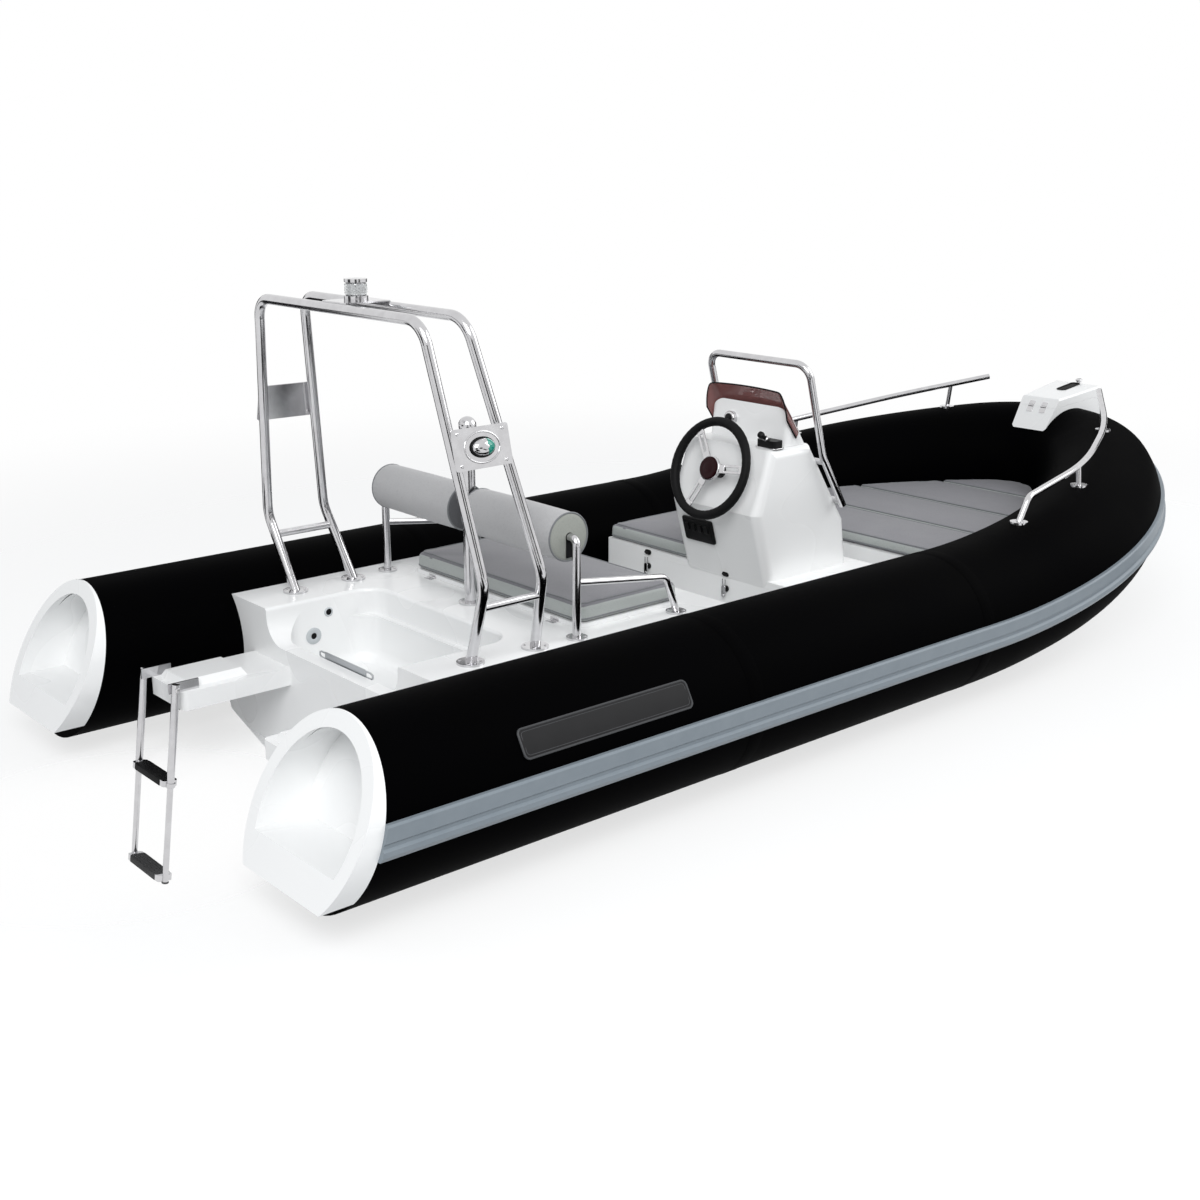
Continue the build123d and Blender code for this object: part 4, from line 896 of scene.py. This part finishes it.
across = leg_point("fore", PLATE_LOW) - leg_point("aft", PLATE_LOW)
plate_out = (leg_point("aft", PLATE_HIGH) - leg_point("aft", PLATE_LOW)).cross(across).normalized()
middle = (PLATE_LOW + PLATE_HIGH) / 2
plate_mid = (leg_point("aft", middle) + leg_point("fore", middle)) / 2
PLATES = {}
for side in (1, -1):
    out = Vector((plate_out.x, side * plate_out.y, plate_out.z))
    point = Vector((plate_mid.x, side * plate_mid.y, plate_mid.z)) + out * PLATE_OUT
    PLATES[side] = facing(point, out) @ Matrix.Rotation(0 if side < 0 else pi, 4, "Z")

housings = bmesh.new()
gaskets = bmesh.new()
for side, place in PLATES.items():
    base = place @ shift((0, 0, 0.003))
    egg(housings, base, (0.041, 0.026, 0.021), [*circle(48), 2 * pi], 1.0)
    sweep(housings, hoop(place, 0.066, 0.046, -0.0006, 48), 0.0028, closed=True, steps=10)
    sweep(gaskets, hoop(place, 0.0425, 0.0275, 0.002, 48), 0.0036, closed=True, steps=8)
    lens = bmesh.new()
    egg(lens, base, (0.0422, 0.0268, 0.0222), LENS_TURNS, 0.84)
    bmesh.ops.solidify(lens, geom=lens.faces[:], thickness=0.0015)
    name, finish = ("port", red_lens) if side > 0 else ("starboard", green_lens)
    add_piece(f"{name}_light_lens", lens, finish, "boat")
made = add_piece("side_light_housings", housings, stainless, "boat")
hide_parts("side_lights")
add_piece("side_light_gaskets", gaskets, black_rubber, "boat")

mast_lens = bmesh.new()
MAST = shift((0.161, 0, 1.5463))
ribs = [(0.0345 + 0.0012 * (k % 2), 0.019 + 0.004 * k) for k in range(9)]
turn(mast_lens, [(0.0305, 0.0185), *ribs, (0.0305, 0.0515), (0.0305, 0.0185)], MAST, 48)
add_piece("mast_light_lens", mast_lens, clear_lens, "boat")
print("side lights at height", round(plate_mid.z, 3), "m")

# %% [markdown]
# ## Screws
# Every foot and plate is held by socket screws. They are small, but they tell the eye how the parts are
# fixed. Each head is a turned dome with a sunk socket, and all of them are one mesh.

# %% Screws
HEAD = ((1.0, -0.001), (1.0, 0.0006), (0.8, 0.0016), (0.46, 0.0022), (0.4, 0.0006), (0.0, 0.0006))
FOOT_TOP = 0.492
LARGE = (0.0335, 0.0052)    # ring of screws and their radius
SMALL = (0.0265, 0.0044)
FEET = ((0.187, 0.521, LARGE), (0.432, 0.530, LARGE), (0.592, 0.545, SMALL), (1.032, 0.545, SMALL))
TOW_POST = (0.575, 0.0, LARGE)


def heads(shape, places, radius):
    """Add screw heads at places."""
    for place in places:
        turn(shape, [(share * radius, height) for share, height in HEAD], place, 14)


screws = bmesh.new()
quarters = [radians(45 + 90 * k) for k in range(4)]
for x, y, (ring_r, radius) in [(x, side * y, size) for x, y, size in FEET for side in (1, -1)] + [TOW_POST]:
    heads(screws, [shift((x + ring_r * cos(a), y + ring_r * sin(a), FOOT_TOP)) for a in quarters], radius)
for place in PLATES.values():
    corners = [(x, y) for x in (-0.084, 0.084) for y in (-0.047, 0.047)]
    heads(screws, [place @ shift((x, y, 0)) for x, y in corners], 0.0055)
    back = Matrix.Rotation(pi, 4, "X")
    heads(screws, [place @ shift((x, y, -0.004)) @ back for x, y in corners], 0.0055)
clamp_spots = [(0.059, y, z) for y in (-0.185, -0.06, 0.06, 0.185) for z in (0.308, 0.342)]
heads(screws, [facing(spot, (1, 0, 0)) for spot in clamp_spots], 0.005)
add_piece("fixing_screws", screws, stainless, "boat")
print("screwed feet:", 2 * len(FEET) + 1, "and plates:", len(PLATES) + 1)

# %% [markdown]
# ## Boarding ladder
# The treads have moulded rubber covers so that bare feet don't slip, with ribs across them. The upper rails
# end in clamp collars, and the lower rails in plastic plugs. The covers ride on the two halves of the
# ladder, because one half slides into the other.

# %% Boarding ladder
LADDER_AT = Vector(joints["ladder_swing"]["pos_m"])
LADDER_DOWN = -Vector(joints["ladder_slide"]["axis"])
RAIL_OUT = 0.116
COLLAR_AT = 0.312
COLLAR = ((0.0128, 0.0), (0.0158, 0.0015), (0.0158, 0.0145), (0.0128, 0.016))
PLUG = ((0.0, 0.652), (0.0112, 0.6525), (0.0118, 0.655), (0.0118, 0.6575), (0.009, 0.6595), (0.0, 0.66))
BOLT = ((0.0085, 0.0), (0.0085, 0.004), (0.006, 0.0062), (0.0, 0.0066))
for name, distance, body in (("upper", 0.316, "ladder_upper"), ("lower", 0.642, "ladder_lower")):
    cover = bmesh.new()
    place = facing(LADDER_AT + LADDER_DOWN * (distance - 0.0125), LADDER_DOWN, (1, 0, 0))
    plate(cover, (0.196, 0.056, 0.012), 0.025, place, 0.005)
    for k in range(5):
        rib = place @ shift((0, 0.01 * k - 0.02, -0.0016))
        plate(cover, (0.176, 0.005, 0.0024), 0.002, rib, 0.0007)
    add_piece(f"{name}_tread_cover", cover, black_rubber, body)
collars = bmesh.new()
plugs = bmesh.new()
bolts = bmesh.new()
for side in (1, -1):
    foot = LADDER_AT + Vector((0, side * RAIL_OUT, 0))
    rail = facing(foot, LADDER_DOWN, (1, 0, 0))
    turn(collars, [(radius, COLLAR_AT + height) for radius, height in COLLAR], rail, 28)
    turn(plugs, PLUG, rail, 24)
    turn(bolts, BOLT, facing(foot + Vector((0, side * 0.0126, 0)), (0, side, 0)), 6)
add_piece("ladder_collars", collars, stainless, "ladder_upper")
add_piece("ladder_plugs", plugs, black_rubber, "ladder_lower")
add_piece("ladder_pivot_bolts", bolts, stainless, "boat")
print("ladder hangs", round(LADDER_AT.z + 0.655 * LADDER_DOWN.z, 3), "m from the waterline")

# %% [markdown]
# ## Console fittings
# Two over-centre latches hold the console's lid to its locker: a keeper on the lid, and a lever and its base
# on the locker. They are split between the two bodies, so the keeper leaves with the lid. A black panel with
# four raised blocks sits under the wheel. The throttle has a polished foot and a knob, and the gauge a black
# face.

# %% Console fittings
AFT = (-1, 0, 0)
LATCH_X = 1.685         # the locker's aft face
KEEPER_Z = 0.4175
LATCH_KNOB = ((0.0075, 0.0), (0.0075, 0.004), (0.005, 0.0075), (0.0, 0.008))
KNOB = ((0.0083, 0.046), (0.012, 0.050), (0.0135, 0.057), (0.012, 0.065), (0.006, 0.0695), (0.0, 0.0705))
keepers = bmesh.new()
levers = bmesh.new()
latch_bases = bmesh.new()
for y in (0.296, -0.145):
    plate(keepers, (0.034, 0.020, 0.0095), 0.007, facing((LATCH_X, y, KEEPER_Z), AFT), 0.002)
    sweep(keepers, [Vector((1.675, y + d, KEEPER_Z)) for d in (-0.012, 0.012)], 0.0035, steps=10)
    plate(latch_bases, (0.034, 0.024, 0.0115), 0.008, facing((LATCH_X, y, 0.360), AFT), 0.002)
    for offset in (-0.007, 0.007):
        sweep(levers, [Vector((1.672, y + offset, z)) for z in (0.3985, 0.385, 0.364)], 0.0018, steps=8)
    plate(levers, (0.020, 0.044, 0.008), 0.004, facing((1.673, y, 0.352), AFT), 0.001)
    turn(levers, LATCH_KNOB, facing((1.674, y, 0.333), AFT), 20)
add_piece("latch_keepers", keepers, black_abs, "console")
add_piece("latch_levers", levers, stainless, "boat")
add_piece("latch_bases", latch_bases, black_abs, "boat")

# A black panel with four raised blocks on the locker's aft face, under the wheel.
panel = bmesh.new()
board = facing((1.6315, -0.050, 0.585), (-0.9599, 0, -0.2804))
plate(panel, (0.160, 0.100, 0.010), 0.010, board, 0.003)
plate(panel, (0.140, 0.080, 0.006), 0.003, board @ shift((0, 0, 0.009)), 0.001)
for k in range(4):
    plate(panel, (0.018, 0.030, 0.004), 0.008, board @ shift((0.034 * k - 0.051, 0.012, 0.011)), 0.002)
add_piece("black_aft_panel", panel, black_abs, "console")

chrome_bits = bmesh.new()
plate(chrome_bits, (0.062, 0.104, 0.016), 0.004, shift((1.729, -0.310, 0.930)), 0.0012)
lean = radians(58)
lever = facing((1.729, -0.310, 0.952), (-sin(lean), 0, cos(lean)), (1, 0, 0))
turn(chrome_bits, [(0.0083, 0.022), (0.0105, 0.024), (0.0105, 0.030), (0.0083, 0.032)], lever, 20)
add_piece("throttle_trim", chrome_bits, stainless, "console")
knob = bmesh.new()
turn(knob, KNOB, lever, 24)
add_piece("throttle_knob", knob, black_abs, "console")
GAUGE = facing((1.7676, -0.056, 1.0031), (-0.9944, 0, 0.1058))
face = bmesh.new()
turn(face, [(0.0185, 0.0), (0.0185, 0.0012), (0.0172, 0.0022), (0.0, 0.003)], GAUGE, 36)
add_piece("gauge_face", face, black_abs, "console")
print("latches: 2, switches: 4")

# %% [markdown]
# ## Splash well and seat
# Two drains let spray out of the well: an upper bung and a lower outlet in a flange. A metal strip with
# hooked wire ends stands over the clamp plate, where a safety line can be tied. The rear pad turns on two
# small butt hinges at its aft edge, one leaf on the deck and one on the board.

# %% Drains, clamp strip and seat hinges
BORE_R = 0.0115
HOOK = ((0.110, 0.382), (0.150, 0.382), (0.160, 0.3775), (0.160, 0.3665), (0.150, 0.362), (0.110, 0.362))


def barrel(shape, joint, y, half, radius):
    """Add a hinge's barrel on a joint's own axis."""
    pin = Vector(joints[joint]["pos_m"]) + Vector((0, y, 0))
    reach = Vector((0, half, 0))
    sweep(shape, [pin - reach, pin + reach], radius)


flanges = bmesh.new()
bore_shade_discs = bmesh.new()
for x, z, radius in ((0.244, 0.426, 0.017), (0.180, 0.350, 0.030)):
    place = facing((x, 0.400, z), (0, -1, 0))
    rim = [(radius, -0.001), (radius, 0.002), (radius * 0.9, 0.004)]
    turn(flanges, [*rim, (0.0135, 0.0045), (BORE_R, 0.0035), (BORE_R, -0.001)], place, 36)
    # A black disc a little way inside each bore is painted shade for the dark inside of the drain.
    turn(bore_shade_discs, [(0.0116, 0.001), (0.0, 0.001)], place, 24)
strip = bmesh.new()
plate(strip, (0.250, 0.044, 0.006), 0.003, facing((0.0592, 0.0, 0.366), (1, 0, 0)), 0.001)
for side in (1, -1):
    sweep(strip, [Vector((0.0625, side * y, z)) for y, z in HOOK], 0.0032, steps=10)
add_piece("clamp_strip", strip, brushed_plate, "boat")
add_piece("drain_flanges", flanges, drain_nylon, "boat")
# Painted shade: the black discs inside the bores.
add_piece("drain_bore_shade", bore_shade_discs, black_rubber, "boat")
fixed_leaves = bmesh.new()
moving_leaves = bmesh.new()
for y in (0.351, -0.351):
    plate(fixed_leaves, (0.020, 0.042, 0.004), 0.002, shift((0.643, y, DECK)), 0.0006)
    plate(moving_leaves, (0.042, 0.010, 0.002), 0.0015, facing((0.660, y, 0.4927), AFT), 0.0004)
    barrel(fixed_leaves, "rear_seat_lift", y, 0.020, 0.0036)
add_piece("seat_hinge_deck_leaves", fixed_leaves, stainless, "boat")
add_piece("seat_hinge_board_leaves", moving_leaves, stainless, "rear_seat")
print("drains: 2, seat hinges: 2")

# %% [markdown]
# ## Bow box
# The box on the bow holds the anchor line. Its lid turns on two hinges at the aft split and has a slot for
# the line, edged in black, with a polished knob at its forward end. Lower leaves stay with the boat and
# upper leaves go with the lid.

# %% Bow box fittings
LOWER_LEAF = ((3.9241, 0.7934), (-0.837, 0, 0.547))     # x and z of its middle, and the way it faces
UPPER_LEAF = ((3.9425, 0.8216), (-0.827, 0, 0.564))
LID_KNOB = (
    (0.012, 0.0), (0.012, 0.003), (0.009, 0.006), (0.015, 0.010), (0.0165, 0.015), (0.012, 0.020),
    (0.0, 0.022),
)
lower_leaves = bmesh.new()
upper_leaves = bmesh.new()
for y in (0.034, -0.034):
    pair = ((lower_leaves, 0.026, LOWER_LEAF), (upper_leaves, 0.020, UPPER_LEAF))
    for leaves, width, ((x, z), out) in pair:
        plate(leaves, (0.030, width, 0.004), 0.0022, facing((x, y, z), out), 0.0007)
    barrel(lower_leaves, "anchor_lid", y, 0.015, 0.0046)
add_piece("box_hinge_leaves", lower_leaves, stainless, "boat")
add_piece("lid_hinge_leaves", upper_leaves, stainless, "anchor_lid")
LID_TOP = facing((4.185, 0, 0.8778), (-0.1232, 0, 0.9924), (0, 1, 0))
slot_edge = bmesh.new()
lip = [LID_TOP @ Vector((x, y, 0.001)) for x, y in oblong(0.140, 0.044, 0.016)]
sweep(slot_edge, lip, 0.004, closed=True, steps=10)
plate(slot_edge, (0.136, 0.040, 0.014), 0.001, LID_TOP, 0.0003)
add_piece("line_slot", slot_edge, black_rubber, "anchor_lid")
lid_knob = bmesh.new()
turn(lid_knob, LID_KNOB, LID_TOP @ shift((0.090, 0, -0.001)), 28)
add_piece("lid_knob", lid_knob, stainless, "anchor_lid")
print("bow box hinges: 2")

# %% [markdown]
# ## Tube patches
# A rubber plate is bonded on the outer side of each tube near the stern. It is blank, with a raised edge
# round it. Strips of fabric tape cover the joints between the lengths of tube. Both lie on the tube's round,
# so their points are placed by distance along the tube and angle round it.

# %% Tube patches
TUBE_R = 0.262
TUBE_Y = 0.837
TUBE_Z = 0.310
PLATE_LEN = 0.633
PLATE_W = 0.084
PLATE_CORNER = 0.016
PLATE_X = 0.272
PLATE_ROUND = radians(30.1)


def on_tube(side, x, around, lift):
    """A point over the straight tube. The angle is 0 at its outer side and grows upwards."""
    reach = TUBE_R + lift
    return Vector((x, side * (TUBE_Y + reach * cos(around)), TUBE_Z + reach * sin(around)))


for side, name in ((1, "port"), (-1, "starboard")):
    badge = bmesh.new()
    rows = []
    for k in range(13):
        v = PLATE_W * (k / 12 - 0.5)
        past = max(0.0, abs(v) - PLATE_W / 2 + PLATE_CORNER)
        half = PLATE_LEN / 2 - PLATE_CORNER + (PLATE_CORNER**2 - past**2) ** 0.5
        around = PLATE_ROUND + v / TUBE_R
        spots = [on_tube(side, PLATE_X + half * (j / 20 - 1), around, 0.003) for j in range(41)]
        rows.append([badge.verts.new(spot) for spot in spots])
    skin(badge, rows)
    add_piece(f"{name}_blank_plate", badge, plate_rubber, "boat")
    edging = bmesh.new()
    for inset, radius in ((0.0, 0.0034), (0.009, 0.0012)):
        outline = oblong(PLATE_LEN - 2 * inset, PLATE_W - 2 * inset, PLATE_CORNER - inset / 2)
        ring = [on_tube(side, PLATE_X + x, PLATE_ROUND + v / TUBE_R, 0.0026) for x, v in outline]
        sweep(edging, ring, radius, closed=True, steps=8)
    add_piece(f"{name}_plate_edging", edging, plate_border, "boat")
    tape = bmesh.new()
    for x in (0.86, 2.06):
        ramp = ((x - 0.030, 0.0003), (x - 0.026, 0.0009), (x + 0.026, 0.0009), (x + 0.030, 0.0003))
        strips = []
        for at, lift in ramp:
            spots = [on_tube(side, at, radians(3 * k - 120), lift) for k in range(91)]
            strips.append([tape.verts.new(spot) for spot in spots])
        skin(tape, strips)
    add_piece(f"{name}_seam_tape", tape, tube_fabric, "boat")
print("plates and tapes on both tubes")
